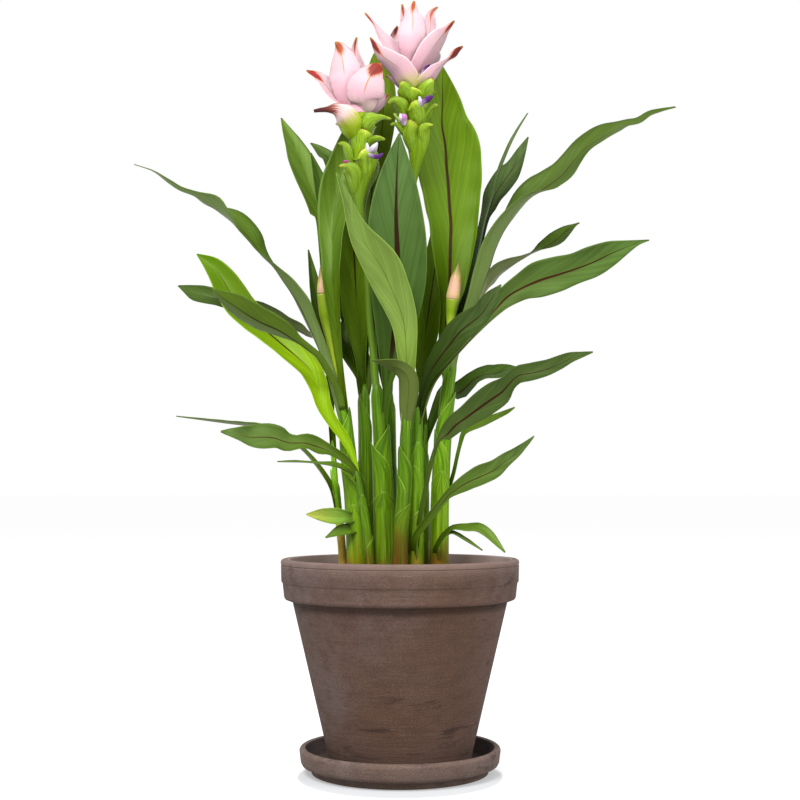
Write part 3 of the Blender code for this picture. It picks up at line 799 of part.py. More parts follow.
def main():
    for old in list(bpy.data.objects):
        bpy.data.objects.remove(old)
    clay = finish_of("clay", (0.19, 0.13, 0.11), 0.85)
    earth = finish_of("soil", (0.05, 0.035, 0.025), 0.95)
    leaf_green = finish_of("leaf", (0.10, 0.22, 0.04), 0.45)
    bract_green = finish_of("green_bract", (0.36, 0.55, 0.06), 0.45)
    petal_pink = finish_of("pink_bract", (0.87, 0.62, 0.66), 0.5)
    bud_cream = finish_of("bud_tip", (0.82, 0.62, 0.42), 0.5)

    _, inner = make_pot(clay)
    make_saucer(clay)
    soil = make_soil(earth, inner)
    cut_root_holes(soil)
    shoots = {name: grow_shoot(name, shoot, leaf_green) for name, shoot in SHOOTS.items()}
    for name, bloom in BLOOMS.items():
        grow_bloom(name, bloom, bract_green, petal_pink)
        socket(shoots[bloom.socket_in], [[*from_drawing(*p[:3])] for p in bloom.axis])
    for name, bud in BUDS.items():
        grow_bud(name, bud, bract_green, bud_cream)
        socket(shoots[bud.socket_in], [[*from_drawing(*p)] for p in bud.axis])


main()
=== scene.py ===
"""A potted Siam tulip, dressed: every leaf and bract is a fine thin blade and every bud a fine tube, drawn
on the same routes as the solids, the pot and saucer are turned finely, and the soil is a crumbly heap.

A drawn point is (x, z, depth) in millimetres: x and z lie in the plane y = 0, and the point is pushed
along its line of sight, away from the eye, until its y is depth.
"""

import math
from collections import namedtuple

import bmesh
import bpy
import numpy as np
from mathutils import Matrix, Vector, noise


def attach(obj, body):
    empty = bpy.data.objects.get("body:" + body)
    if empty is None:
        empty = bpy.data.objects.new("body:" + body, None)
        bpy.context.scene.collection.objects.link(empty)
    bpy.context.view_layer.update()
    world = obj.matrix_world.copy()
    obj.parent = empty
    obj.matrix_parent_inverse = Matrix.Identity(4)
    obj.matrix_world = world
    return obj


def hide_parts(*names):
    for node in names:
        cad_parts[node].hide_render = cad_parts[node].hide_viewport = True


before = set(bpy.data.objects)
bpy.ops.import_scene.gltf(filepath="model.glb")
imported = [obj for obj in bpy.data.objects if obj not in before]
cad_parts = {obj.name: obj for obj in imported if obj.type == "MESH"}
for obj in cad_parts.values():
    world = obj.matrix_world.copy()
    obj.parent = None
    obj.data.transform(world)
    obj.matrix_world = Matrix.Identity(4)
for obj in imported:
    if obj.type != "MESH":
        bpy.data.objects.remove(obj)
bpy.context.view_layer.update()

MM = 0.001

# The camera, in millimetres: the eye that the drawing is seen from, its height in the picture, its tilt
# in degrees and its lens on the sensor.
EYE_DISTANCE = 1250.0
EYE_HEIGHT = 246.0
CAMERA_HEIGHT = 246.4
EYE_TILT = 3.64
EYE_LENS = 63.3
SENSOR = 36.0

# Clay pot and saucer, in millimetres, as in the solids.
RIM_RADIUS = 105.0
RIM_TOP = 185.5
COLLAR_BOTTOM = 150.0
COLLAR_BOTTOM_RADIUS = 102.0
BODY_TOP_RADIUS = 95.0
POT_FOOT_RADIUS = 61.5
WALL = 8.0
POT_FLOOR = 9.0
DRAIN_RADIUS = 9.0
SAUCER_RADIUS = 88.0
SAUCER_TOP = 22.5
SAUCER_WALL = 6.0
SAUCER_FLOOR = 7.0
SAUCER_FOOT_RADIUS = 77.5
SAUCER_FOOT_HEIGHT = 6.0
POT_BOTTOM = SAUCER_FLOOR + 0.3
TURNED_SIDES = 160
SHARP_EDGE = 40
MERGED = 0.01

# Soil, in millimetres: the heap at the wall and in the middle, its depth, its gap to the wall, how
# finely it is meshed, and its large and small crumbs by size, slice of the noise and fineness.
SOIL_EDGE_TOP = 171.0
SOIL_MIDDLE_TOP = 178.0
SOIL_DEPTH = 12.0
SOIL_GAP = 2.4
SOIL_FLATNESS = 4
SOIL_RINGS = 70
SOIL_SPOKES = 220
SOIL_SUNK = 1.4
CRUMBS = ((1.6, 3.0, 0.16), (0.9, 9.0, 0.5))

# Blades, in millimetres. A leaf is rolled up at its root, and starts to open where it has OPENS_FROM of
# its full width. Curl and slant are angles in radians and degrees.
EDGE_THICKNESS = 0.35
RIB_THICKNESS = 1.3
BRACT_RIB_SHARE = 0.5
RIB_GROOVE = 0.25
RIB_REACH = 0.13
RIB_FADE = 0.7
TIP_HALF_WIDTH = 0.3
LEAST_SHOWN = 0.5
LEAST_CURL = 1e-3
ROLLED_CURL = 1.2
OPENS_FROM = 0.25
OPENS_OVER = 0.5
FOLD_SOFTNESS = 0.15
RIPPLE = 0.015
RIPPLE_TURNS = 2.3
RIGHT_LAGS = (0.9, 2.0)
VEIN_SLANT = 13
LEAF_SPACING = 4.0
BRACT_SPACING = 1.6
LEAST_STATIONS = 16
PINK_CURL = 0.5
PINK_FOLD = 0.1
BLADE_ACROSS = 12
CURVE_STEPS = 16

# Stems, scapes and buds.
TUBE_SIDES = 24
STEM_STATIONS = 60
STEM_TAPER = (0.97, 0.9, 0.78, 0.6, 0.3)
CORE_STATIONS = 70
BUD_STEPS = 80
BUD_SHARES = (0, 0.35, 0.5, 0.66, 0.84, 0.95, 1)
BUD_SWELL = (0.7, 1.0, 0.8, 0.34)
BUD_TIP = 0.5
SCAPE_RADIUS = 3.0

# Sheaths round each stem: how far each is turned from the front, in degrees, and where it ends. Both
# vary from stem to stem.
SHEATHS = ((-60, 0.5), (75, 0.74), (-10, 0.93))
SHEATH_TURN_SPREAD = 70
TURN_STEP = 2.1
END_STEP = 3.3
SHEATH_END_MEAN = 0.94
SHEATH_END_SPREAD = 0.08
SHEATH_STATIONS = 40
SHEATH_ACROSS = 16

# How much wider than its stem a sheath is, its gap and its flared mouth in millimetres, the share of its
# height that the pointed mouth takes, and half of what it wraps in degrees at the point and beyond it.
SHEATH_GROWTH = 1.12
SHEATH_FOOT_GROWTH = 0.16
SHEATH_GAP = 0.4
SHEATH_FLARE = 1.2
MOUTH_SHARE = 0.22
MOUTH_CURVE = 1.3
POINT_ANGLE = 8
WRAP_ANGLE = 142

# Steps from one piece's veins, spots and ripples to the next one's.
BLADE_SEED = 0.37
SHOOT_SEED = 0.61
BLOOM_SEED = 0.3
FLORET_SEED = 0.1
STEM_SEED = 1.7

# Under the lights below a matt surface looks LIGHT_SHARE times as bright as its own colour, and its
# gloss adds GLOSS_SHARE. Green gloss is tinted.
LIGHT_SHARE = 2.1
GLOSS_SHARE = 0.012
LEAF_TINT = (0.75, 1, 0.4)
STEM_TINT = (0.8, 1, 0.5)
POUCH_TINT = (0.9, 1, 0.6)

# A painted midrib's width at the leaf's tip, how gently it starts, and how far veins are drawn out.
RIB_TIP_SHARE = 0.25
RIB_START = 0.2
VEIN_STRETCH = 2.0

# Where the clay's paler foot, painted shadow under the collar, painted light on the rim and inner wall,
# and painted shade inside the saucer begin and are full: heights and distances from the axis, in metres.
POT_FOOT_PALER = (0.05, 0.01)
COLLAR_SHADOW_FOOT = (0.1405, 0.1465)
COLLAR_SHADOW_TOP = (0.151, 0.149)
RIM_PAINTED_LIGHT = (0.172, 0.186)
INNER_WALL_PAINTED_LIGHT = (0.0995, 0.0985)
INNER_WALL_LIGHT_FOOT = (0.164, 0.174)
SAUCER_PAINTED_SHADE = (0.0832, 0.0822)
SAUCER_SHADE_FOOT = (0.005, 0.0065)

# The floor glows to meet the white round it, but less on a greyer disc under the saucer, a painted contact
# shadow, in millimetres.
FLOOR_RADIUS = 60000.0
FLOOR_SIDES = 96
FLOOR_DROP = 0.2
FLOOR_GLOW = 0.62
FLOOR_COLOUR = (0.36, 0.36, 0.36, 1)
CONTACT_SHADOW_GLOW = (0.62, 0.62, 0.62, 1)
CONTACT_SHADOW_COLOUR = (0.2, 0.205, 0.21, 1)
CONTACT_DEPTH = -19.0
CONTACT_INSIDE = 86.0
CONTACT_OUTSIDE = 92.0

# Lights in metres and watts, and the height that they aim at.
LIGHTS = {"key": ((-0.6, -1.4, 1.9), 0.9, 100), "fill": ((1.4, -1.2, 1.3), 1.2, 36)}
AIM_HEIGHT = 0.35

Leaf = namedtuple("Leaf", "name finish route fold wave curl", defaults=(0.22, 0.0, 0.25))
Shoot = namedtuple("Shoot", "finish foot_radius top_radius stem leaves")
Bloom = namedtuple("Bloom", "axis pink_core green pink")
Bud = namedtuple("Bud", "half_width green_share axis")


def pouch(name, route, curl=1.0, fold=0.0, finish="green_bract_fine"):
    """A green bract of a flower head."""
    return Leaf(name, finish, route, fold, 0.0, curl)


def petal(name, route, finish="pink_bract_fine"):
    """A pink bract of a flower head."""
    return Leaf(name, finish, route, PINK_FOLD, 0.0, PINK_CURL)


# A leaf's route holds (x, z, depth, roll, half width) from its root to its tip. Roll 0 turns the upper
# face to the eye, 90 to the right of a rising leaf, 180 away. The half width is the one the eye sees.
SHOOTS = {
    "shoot_far_left": Shoot("husk_stem", 2.8, 2.4, [(-50, 150, 14), (-51, 190, 14), (-54, 220, 15),
        (-57, 250, 16), (-60, 290, 17)], [
        Leaf("upright_left_rear", "fresh", [(-59, 278, 17, 10, 2.5), (-62, 330, 21, 10, 3),
            (-63, 390, 27, 10, 4.5), (-68, 482, 53, 18, 6.8), (-72, 496, 56, 19, 9.1),
            (-77, 510.5, 60, 20, 10), (-84, 529.5, 66, 23, 11.6), (-89.5, 544, 70, 24, 11.1),
            (-95, 557, 75, 26, 8), (-101, 568.5, 79, 28, 4.5), (-107, 581, 84, 30, 0.5)]),
        Leaf("strap_left", "mid", [(-54, 222, 15, 60, 2.3), (-60, 248, 12, 60, 2.3), (-72, 268, 6, 70, 2.3),
            (-86, 284, -2, 80, 2.3), (-102, 297, -12, 84, 4.2), (-122, 304.5, -24, 88, 4.7),
            (-155, 308, -42, 90, 3.5), (-199, 312, -62, 90, 0.5)]),
    ]),
    "shoot_left": Shoot("bright_stem", 8.2, 4.6, [(-36.5, 150, 4), (-38.5, 200, 4), (-41.5, 240, 4),
        (-45, 270, 4), (-48.5, 300, 3), (-52.5, 330, 2)], [
        Leaf("long_left", "hazel", [(-49, 302, 3, 120, 3.2), (-55.5, 327.5, 1, 120, 3.5),
            (-59.5, 345, 0, 121, 3.9), (-64.5, 360.5, -1, 122, 3.6), (-69.5, 374.5, -4, 123, 3.9),
            (-78, 395, -8, 122, 4.9), (-87, 414.5, -12, 118, 6.4), (-101.5, 435.5, -17, 105, 5.6),
            (-111.5, 448, -21, 92, 3.8), (-121.5, 459.5, -24, 75, 6), (-129, 471, -28, 64, 7),
            (-142, 486, -34, 66, 8.5), (-156, 498, -41, 89, 8.3), (-168.5, 506, -47, 112, 7.9),
            (-183.5, 512, -54, 109, 3.5), (-197.5, 517, -60, 103, 2.6), (-207.5, 524, -65, 94, 2.8),
            (-221.5, 533.5, -72, 88, 1.5), (-239, 539, -80, 88, 0.5)], 0.25, 0.6),
        Leaf("broad_left", "fresh", [(-49, 312, 0, -18, 3.5), (-53, 350, -6, -24, 2.8),
            (-55.5, 370, -8, -26, 3.5), (-59.5, 406, -12, -30, 5.5), (-62, 434, -12, -30, 7.3),
            (-62, 455, -7, -27, 8.8), (-62, 480, 2, -22, 11.8), (-59, 505, 14, -15, 15),
            (-55, 524, 23, -9, 15.5), (-50.5, 540, 28, -5, 13.5), (-48, 552, 31, -2, 11),
            (-45, 568, 36, 0, 6.5), (-42, 587, 41, 0, 0.6)], 0.28),
        Leaf("narrow_left_rear", "dark", [(-49, 314, 6, 30, 3), (-59, 355, 11, 36, 3.6),
            (-68, 390, 15, 40, 7.1), (-74, 420, 18, 42, 5.8), (-78.5, 443, 20, 42, 3),
            (-82, 461, 22, 40, 0.5)]),
        Leaf("dark_left_front", "dark", [(-51, 318, -2, 132, 3), (-55, 334, -7, 132, 3),
            (-70, 362.5, -20, 132, 2.6), (-80.5, 372.5, -25, 132, 2.6), (-90.5, 380, -29, 133, 3.2),
            (-100, 386.5, -33, 134, 6.5), (-111.5, 393, -37, 135, 8.5), (-123.5, 398.5, -41, 136, 9.5),
            (-135.5, 405.5, -47, 137, 9.7), (-146.5, 412.5, -52, 138, 8.7), (-157, 418.5, -56, 139, 5.5),
            (-168, 426, -60, 140, 0.5)], 0.2),
        Leaf("stub_pale", "straw", [(-37, 221, 0, 12, 3), (-46, 222.5, -6, 12, 4.9), (-57, 223, -9, 12, 7),
            (-70, 224, -12, 14, 5.4), (-83, 224.5, -15, 18, 0.5)]),
        Leaf("stub_dark", "mid", [(-36, 212, 0, 30, 2.3), (-44, 212, -5, 30, 4.4), (-54, 210, -9, 30, 4.4),
            (-66, 204, -12, 30, 0.5)]),
    ]),
    "shoot_left_front": Shoot("brown_stem", 3.3, 2.8, [(-25, 150, -17), (-27, 186, -17), (-30, 212, -17),
        (-35, 244, -17), (-39.5, 264, -17)], [
        Leaf("lime_left", "lime", [(-38, 254, -17, 40, 2.4), (-40, 271.5, -15, 37, 2),
            (-49, 291.5, -12, 30, 4.1), (-60, 307, -9, 23, 4.9), (-67.5, 321, -6, 18, 6.5),
            (-71.5, 335.5, -2, 15, 8), (-76, 347, 0, 16, 9.3), (-82.5, 358, 3, 22, 10.4),
            (-104, 378.5, 10, 33, 11.9), (-118, 390, 14, 30, 12.3), (-131.5, 400, 17, 25, 12.3),
            (-142.5, 410.5, 21, 20, 13.2), (-151.5, 424, 25, 16, 13.1), (-159.5, 437, 29, 13, 10.9),
            (-168.5, 447.5, 32, 11, 7.5), (-182, 457, 36, 10, 0.5)], 0.3),
        Leaf("low_left", "soft", [(-37, 254, -17, 32, 2.4), (-39.5, 263, -19, 32, 2.2),
            (-48.5, 273, -24, 34, 3), (-62.5, 282, -31, 33, 4.3), (-71.5, 285.5, -35, 32, 6.4),
            (-83, 289, -41, 30, 6.5), (-91.5, 289, -45, 29, 5.9), (-100, 289.5, -49, 28, 7.7),
            (-111, 293.5, -55, 27, 9.6), (-121.5, 294.5, -61, 25, 10.8), (-132.5, 294, -66, 24, 9),
            (-142, 295.5, -71, 23, 6.4), (-151.5, 297.5, -76, 23, 3.3),
            (-159, 298.5, -80, 22, 0.5)], 0.2, 1.5),
        Leaf("low_left_narrow", "mid", [(-37, 256, -15, 70, 2), (-43, 262, -13, 70, 1.7),
            (-51.5, 267, -12, 70, 2.6), (-59.5, 269.5, -10, 70, 2.9), (-71, 270.5, -9, 72, 1.4),
            (-84, 271.5, -8, 75, 1), (-95, 272, -8, 78, 1.5), (-109, 271.5, -8, 80, 0.5)]),
    ]),
    "shoot_left_rear": Shoot("stem", 5.8, 4.6, [(-27, 150, 24), (-29, 200, 24), (-30.5, 250, 24),
        (-31, 300, 24), (-31.5, 340, 24)], [
        Leaf("dark_mid_rear", "deep", [(-32, 322, 26, -5, 3.2), (-35, 360, 28, -8, 4.5),
            (-39, 400, 30, -8, 11.5), (-41, 440, 31, -8, 14), (-43, 480, 32, -6, 12.6),
            (-44, 520, 35, 0, 7.9), (-43, 562, 40, 0, 0.5)], 0.3),
        Leaf("dark_left_cross", "cross", [(-31, 326, 24, 20, 3), (-31, 341, 26, 20, 6),
            (-37, 361, 32, 14, 11), (-47, 378, 38, 21, 12), (-59, 388, 44, 48, 10),
            (-79.5, 386, 49, 100, 5.3), (-90.5, 391.5, 50, 118, 4.6), (-103.5, 396, 51, 119, 6.7),
            (-116.5, 405, 52, 112, 7.1), (-131.5, 413, 54, 91, 8.7), (-147.5, 415.5, 58, 58, 8.5),
            (-161.5, 418, 63, 40, 7.8), (-171.5, 420, 66, 32, 8), (-181, 422, 69, 29, 7.8),
            (-189, 425, 73, 26, 4.7), (-198.5, 428.5, 78, 24, 0.5)], 0.25),
        Leaf("spear_left_rear_high", "dark", [(-32, 328, 28, 20, 2.5), (-36, 380, 38, 20, 3),
            (-42, 440, 50, 22, 4.5), (-51, 500, 62, 28, 6), (-62, 541, 74, 37, 6.2),
            (-68.5, 549, 77, 40, 5.3), (-75, 554.5, 81, 42, 2.7), (-80.5, 558, 84, 44, 0.5)]),
        Leaf("spear_left_rear_low", "dark", [(-33, 326, 27, 10, 3.2), (-40, 370, 33, 10, 3.2),
            (-50, 430, 41, 12, 7.9), (-60, 480, 47, 16, 10.9), (-69, 515, 51, 22, 7.5),
            (-80, 549, 54, 26, 0.5)]),
        Leaf("arch_rear_left", "dark", [(-32, 330, 28, 0, 3.2), (-38, 380, 52, 0, 10.5),
            (-46, 425, 82, 0, 13.5), (-54, 455, 112, 0, 8.2), (-60, 472, 142, 0, 3),
            (-64, 480, 170, 0, 0.5)], 0.25),
    ]),
    "shoot_middle": Shoot("stem", 9.2, 5.8, [(-13, 150, -2), (-13, 200, -2), (-14.5, 240, -2),
        (-16.5, 280, -2), (-18.5, 310, -2), (-21, 342, -2)], [
        Leaf("broad_middle", "bluish", [(-15, 300, -5, -6, 3.2), (-12, 335, -9, -6, 3.4),
            (-8, 365, -12, -4, 10.5), (-4, 398, -15, 0, 19), (-2, 430, -17, 0, 24.4),
            (-2.5, 462, -19, 0, 26), (-3.5, 492, -20, 0, 23.6), (-3, 522, -20, 0, 17.1),
            (-2, 546, -19, 2, 8.9), (-0.5, 567, -18, 4, 0.5)], 0.14),
        Leaf("dark_rear_high", "deep", [(-20, 326, 2, 0, 3.2), (-22.5, 350, 16, 0, 3.2),
            (-24, 370, 32, 0, 3.2), (-26, 400, 43, 0, 4), (-27, 440, 50, 0, 7), (-27, 485, 55, 0, 9),
            (-24.5, 525, 58, 0, 10), (-20, 550, 60, 0, 11), (-16, 572, 62, 0, 11.2), (-15, 590, 63, 0, 12),
            (-16.5, 608, 65, 0, 12.5), (-19.5, 624, 66, 0, 10), (-21.5, 635, 66, 0, 5),
            (-22, 642, 66, 0, 0.5)], 0.3),
    ]),
    "shoot_rear": Shoot("bright_stem", 4.8, 4.0, [(-6, 150, 29), (-7, 200, 29), (-8, 250, 29),
        (-9, 300, 29), (-10, 340, 29)], [
        Leaf("dark_core_rear", "deep", [(-10, 322, 29, 0, 3), (-11, 355, 31, 0, 4), (-12, 390, 33, 0, 5.5),
            (-13.5, 425, 36, 0, 6.3), (-14, 455, 41, 0, 4), (-13, 478, 46, 0, 0.5)]),
        Leaf("arch_rear_middle", "dark", [(-10, 326, 31, 0, 3.2), (-14, 366, 62, 0, 9),
            (-20, 402, 96, 0, 14), (-27, 428, 130, 0, 9), (-32, 442, 158, 0, 3),
            (-34, 447, 178, 0, 0.5)], 0.25),
    ]),
    "shoot_front": Shoot("brown_stem", 5.4, 4.8, [(0, 150, -25), (0.5, 200, -25), (2.5, 230, -25),
        (4.5, 262, -25), (5.5, 300, -26), (5.5, 318, -27)], [
        Leaf("pale_front", "pale", [(5.5, 300, -27, 4, 3.8), (5.5, 330, -29, 4, 4.6),
            (6.5, 348.5, -30, 4, 6), (6, 366.5, -32, 5, 8.2), (4.5, 391.5, -35, 7, 10.7),
            (0, 409, -39, 8, 13.1), (-7.5, 427.5, -43, 10, 15.2), (-15.5, 445.5, -48, 13, 16),
            (-24.5, 459, -52, 16, 14.1), (-34.5, 473.5, -56, 21, 10.3), (-42, 490, -60, 29, 6.4),
            (-47, 506, -63, 40, 4.1), (-52, 519, -64, 48, 2.3), (-57, 531, -66, 56, 0.5)], 0.2),
        Leaf("folded_front", "folded", [(5.5, 296, -27, 176, 3.2), (6.5, 318, -33, 176, 6.9),
            (8, 336, -38, 176, 8.6), (6.5, 348, -42, 172, 7.9), (-1, 355.5, -45, 150, 6.4),
            (-12, 359, -47, 120, 3.8), (-25, 361.5, -48, 110, 0.5)], 0.1),
    ]),
    "shoot_middle_rear": Shoot("stem", 5.4, 4.4, [(4, 150, 10), (4.5, 200, 10), (5, 250, 9), (6, 300, 8),
        (7, 338, 6)], [
        Leaf("arch_rear", "dark", [(6.5, 318, 8, 0, 3.2), (5, 370, 28, 0, 5.1), (6, 425, 56, 0, 14.9),
            (9, 470, 88, 0, 11.7), (12, 500, 122, 0, 5), (14, 517, 156, 0, 0.5)], 0.25),
    ]),
    "shoot_right_front": Shoot("bright_stem", 6.4, 5.2, [(13, 150, -10), (13, 200, -10), (13.5, 240, -10),
        (14, 280, -10), (15.5, 322, -11)], [
        Leaf("dark_right_front", "shaded", [(14.5, 308, -12, -18, 3), (19.5, 333.5, -16, -20, 2.1),
            (26.5, 352, -21, -24, 5.8), (34.5, 364.5, -26, -25, 8.1), (43.5, 376.5, -31, -26, 9.8),
            (52.5, 388, -37, -25, 11), (63, 396.5, -42, -24, 10.5), (72, 403.5, -46, -22, 8.7),
            (78.5, 413, -51, -20, 7.4), (83.5, 420, -54, -17, 5.7), (87.5, 425.5, -56, -15, 2.6),
            (90.5, 429.5, -58, -14, 0.5)], 0.2),
        Leaf("broad_right", "striped", [(15, 305, -10, -60, 3), (26, 338, -11, -60, 3),
            (38, 356, -13, -50, 3), (62, 381.5, -14, -40, 2.3), (84, 407, -15, -20, 6),
            (96, 419, -17, -8, 9.2), (110, 428, -21, -19, 11.8), (125, 434.5, -28, -15, 15.4),
            (142, 439.5, -36, -12, 15.2), (158, 444.5, -45, -10, 13.3), (174.5, 451, -54, -10, 13.2),
            (190, 458.5, -64, -11, 10.3), (204, 464, -72, -13, 5.4), (214, 467.5, -79, -14, 2.2),
            (223.5, 469.5, -84, -16, 0.5)], 0.2, 1.0),
        Leaf("low_right", "soft", [(11, 185, -14, -30, 3.2), (11.5, 196, -20, -30, 3),
            (15, 207, -25, -32, 3), (39.5, 238.5, -41, -30, 3.1), (47.5, 246, -46, -29, 4.3),
            (59, 253.5, -53, -27, 7), (71, 259, -59, -26, 8.3), (83, 264.5, -66, -24, 7.4),
            (93.5, 272.5, -73, -24, 6), (102.5, 278.5, -78, -24, 4.3), (110.5, 286, -84, -24, 2.3),
            (119, 294, -90, -24, 0.5)], 0.22, 0.8),
        Leaf("mid_right_front", "glossy", [(14, 196, -14, -40, 2.2), (18, 225, -20, -46, 1.8),
            (23.5, 252, -22, -48, 1.6), (28, 272, -23, -46, 1.7), (34.5, 291, -25, -38, 1.8),
            (40, 296, -26, -34, 5.9), (48.5, 304.5, -30, -27, 8.2), (58, 311, -33, -23, 9.2),
            (69.5, 319.5, -39, -19, 10.9), (80, 327, -45, -18, 11.9), (90, 334, -50, -20, 10.9),
            (98, 342.5, -56, -23, 6.8), (105.5, 349, -61, -27, 7.3), (117.5, 351.5, -67, -31, 7.5),
            (131, 355, -74, -34, 6.6), (142, 359.5, -81, -35, 5.8), (152, 364, -87, -36, 4.4),
            (162, 366.5, -92, -36, 2.5), (172, 369, -98, -36, 0.5)]),
    ]),
    "shoot_right_rear": Shoot("bright_stem", 3.6, 3.2, [(22, 150, 20), (22, 200, 20), (21.5, 240, 20),
        (21.5, 275, 21), (23, 305, 22)], [
        Leaf("dark_gap_rear", "gap", [(22, 296, 22, 0, 3.2), (20, 335, 25, 0, 3.2), (21.5, 372, 29, 0, 10),
            (26, 408, 34, 0, 12.5), (31, 442, 39, 0, 11.5), (36, 480, 45, 0, 7.2),
            (41, 520, 52, 0, 0.5)], 0.3),
        Leaf("mid_right_rear", "dark", [(22, 288, 21, -50, 2), (27, 304, 21, -50, 3.5),
            (39, 332.5, 26, -49, 5.7), (50.5, 334, 30, -48, 7.4), (57, 339, 35, -46, 7.4),
            (64.5, 345.5, 40, -45, 6.1), (73.5, 350, 46, -45, 6), (85, 352, 54, -49, 6.7),
            (95, 355, 60, -54, 3.8), (106, 355, 68, -60, 0.5)]),
    ]),
    "shoot_right": Shoot("bright_stem", 7.2, 5.4, [(33.5, 150, 2), (34.5, 200, 2), (35.5, 240, 2),
        (37.5, 280, 2), (40.5, 320, 2), (44.5, 350, 2), (47, 372, 2)], [
        Leaf("broad_upright_right", "bright", [(43, 340, 5, 10, 4), (40, 372, 12, 12, 5.5),
            (43.5, 407, 20, 14, 7.7), (46, 426, 23, 15, 12.2), (47, 446.5, 26, 16, 16.5),
            (47.5, 466, 29, 16, 20.3), (48, 483, 32, 16, 22.5), (47, 501, 34, 16, 25.2),
            (46, 520.5, 36, 15, 28.3), (44.5, 537, 37, 14, 29.8), (43, 556, 38, 12, 29.1),
            (39.5, 575, 38, 11, 23.8), (39.5, 595, 37, 10, 16.5), (39, 610, 35, 9, 10),
            (38.5, 628, 34, 8, 0.6)], 0.28),
        Leaf("long_right", "silvery", [(45, 352, 0, -104, 3), (52, 384, -2, -108, 4),
            (69.5, 432.5, -1, -112, 7.6), (74.3, 447.3, 1, -110, 9), (78.7, 463.5, 3, -106, 10),
            (85.5, 480.5, 6, -99, 11), (95.7, 495.3, 9, -91, 10.8), (108, 509.3, 14, -78, 10.2),
            (118.7, 517.3, 17, -68, 9.4), (131.5, 524, 21, -57, 9.8), (143.2, 532, 25, -51, 10),
            (153.2, 542.8, 30, -46, 9), (164, 555, 34, -51, 7.9), (175.5, 564, 38, -57, 7.8),
            (188, 572, 43, -63, 7), (201.5, 576.5, 48, -68, 4.5), (214.5, 579, 52, -69, 4.2),
            (225, 585, 56, -70, 3), (235, 588, 61, -70, 1.8), (248.5, 591.5, 66, -70, 0.5)], 0.26, 0.8),
        Leaf("twisted_right", "grey", [(46, 350, 6, -120, 2), (51, 384, 11, -122, 2.3),
            (68.5, 414.5, 19, -128, 2.4), (76, 428.5, 24, -128, 3.6), (83, 438, 28, -127, 5.8),
            (91, 445, 33, -124, 5.4), (100, 449.5, 37, -118, 4.1), (109, 454, 42, -109, 2.3),
            (119, 459.5, 48, -83, 1.7), (129.5, 465, 54, -54, 4.7), (139, 471, 59, -38, 6.9),
            (148.5, 478.5, 65, -34, 4.8), (156, 483, 70, -34, 1.6), (161, 485.5, 72, -34, 0.5)], 0.2),
        Leaf("strap_right", "strap", [(45, 350, 9, -70, 2), (52, 385, 18, -72, 2), (60, 420, 28, -76, 2.3),
            (73, 480, 43, -78, 2.2), (77, 496, 47, -77, 2.5), (81.5, 511.5, 51, -76, 2.8),
            (86.5, 528, 56, -74, 2.3), (92.5, 543.5, 60, -72, 2.2), (98.5, 557.5, 65, -72, 2),
            (105.5, 570.5, 69, -72, 1.4), (115, 585.5, 74, -72, 0.5)], 0.25),
        Leaf("spear_right_rear", "shaded", [(43, 344, 9, -20, 3), (51, 382, 24, -20, 4),
            (60, 420, 40, -22, 5), (74, 482, 67, -24, 4), (79.5, 498.5, 74, -23, 6.7),
            (84.5, 511.5, 80, -22, 9.8), (94.5, 526.5, 88, -19, 10.7), (102.5, 537, 94, -17, 7.5),
            (109, 550.5, 100, -16, 4.4), (115.5, 563.5, 107, -14, 0.5)]),
        Leaf("slip_right", "mid", [(37, 232, 1, -50, 1.6), (43.5, 249, 4, -56, 1.7),
            (47.5, 262, 4, -57, 1.5), (50.5, 276, 3, -59, 1.5), (53.5, 288, 2, -60, 1.7),
            (56.5, 297, 0, -55, 2.3), (63, 301, -4, -49, 2.3), (74.5, 306.5, -10, -44, 3.2),
            (87, 312, -17, -41, 2.5), (96, 316, -22, -40, 1.7), (102, 319.5, -26, -40, 0.5)]),
        Leaf("bent_low_right", "mid", [(32, 184, -1, -60, 2.1), (31, 193, -11, -60, 2.1),
            (36, 203, -18, -56, 2.1), (42, 210, -23, -50, 2), (48, 213.5, -27, -50, 2.1),
            (60, 213.5, -35, -56, 3.3), (70, 213, -42, -40, 4), (79, 207, -48, -30, 3.8),
            (87, 198, -53, -30, 2.2), (93, 191, -57, -40, 0.5)]),
        Leaf("wisp_low_right", "mid", [(40, 207, -21, -60, 1.4), (47, 209, -27, -66, 1.6),
            (59, 202.5, -35, -70, 1.9), (73, 193, -44, -70, 0.5)]),
        Leaf("arch_rear_right", "dark", [(45, 352, 8, 0, 3.2), (44, 400, 36, 0, 8.2), (46, 445, 70, 0, 15),
            (50, 480, 106, 0, 10.7), (54, 504, 142, 0, 3.7), (57, 514, 174, 0, 0.5)], 0.25),
    ]),
}

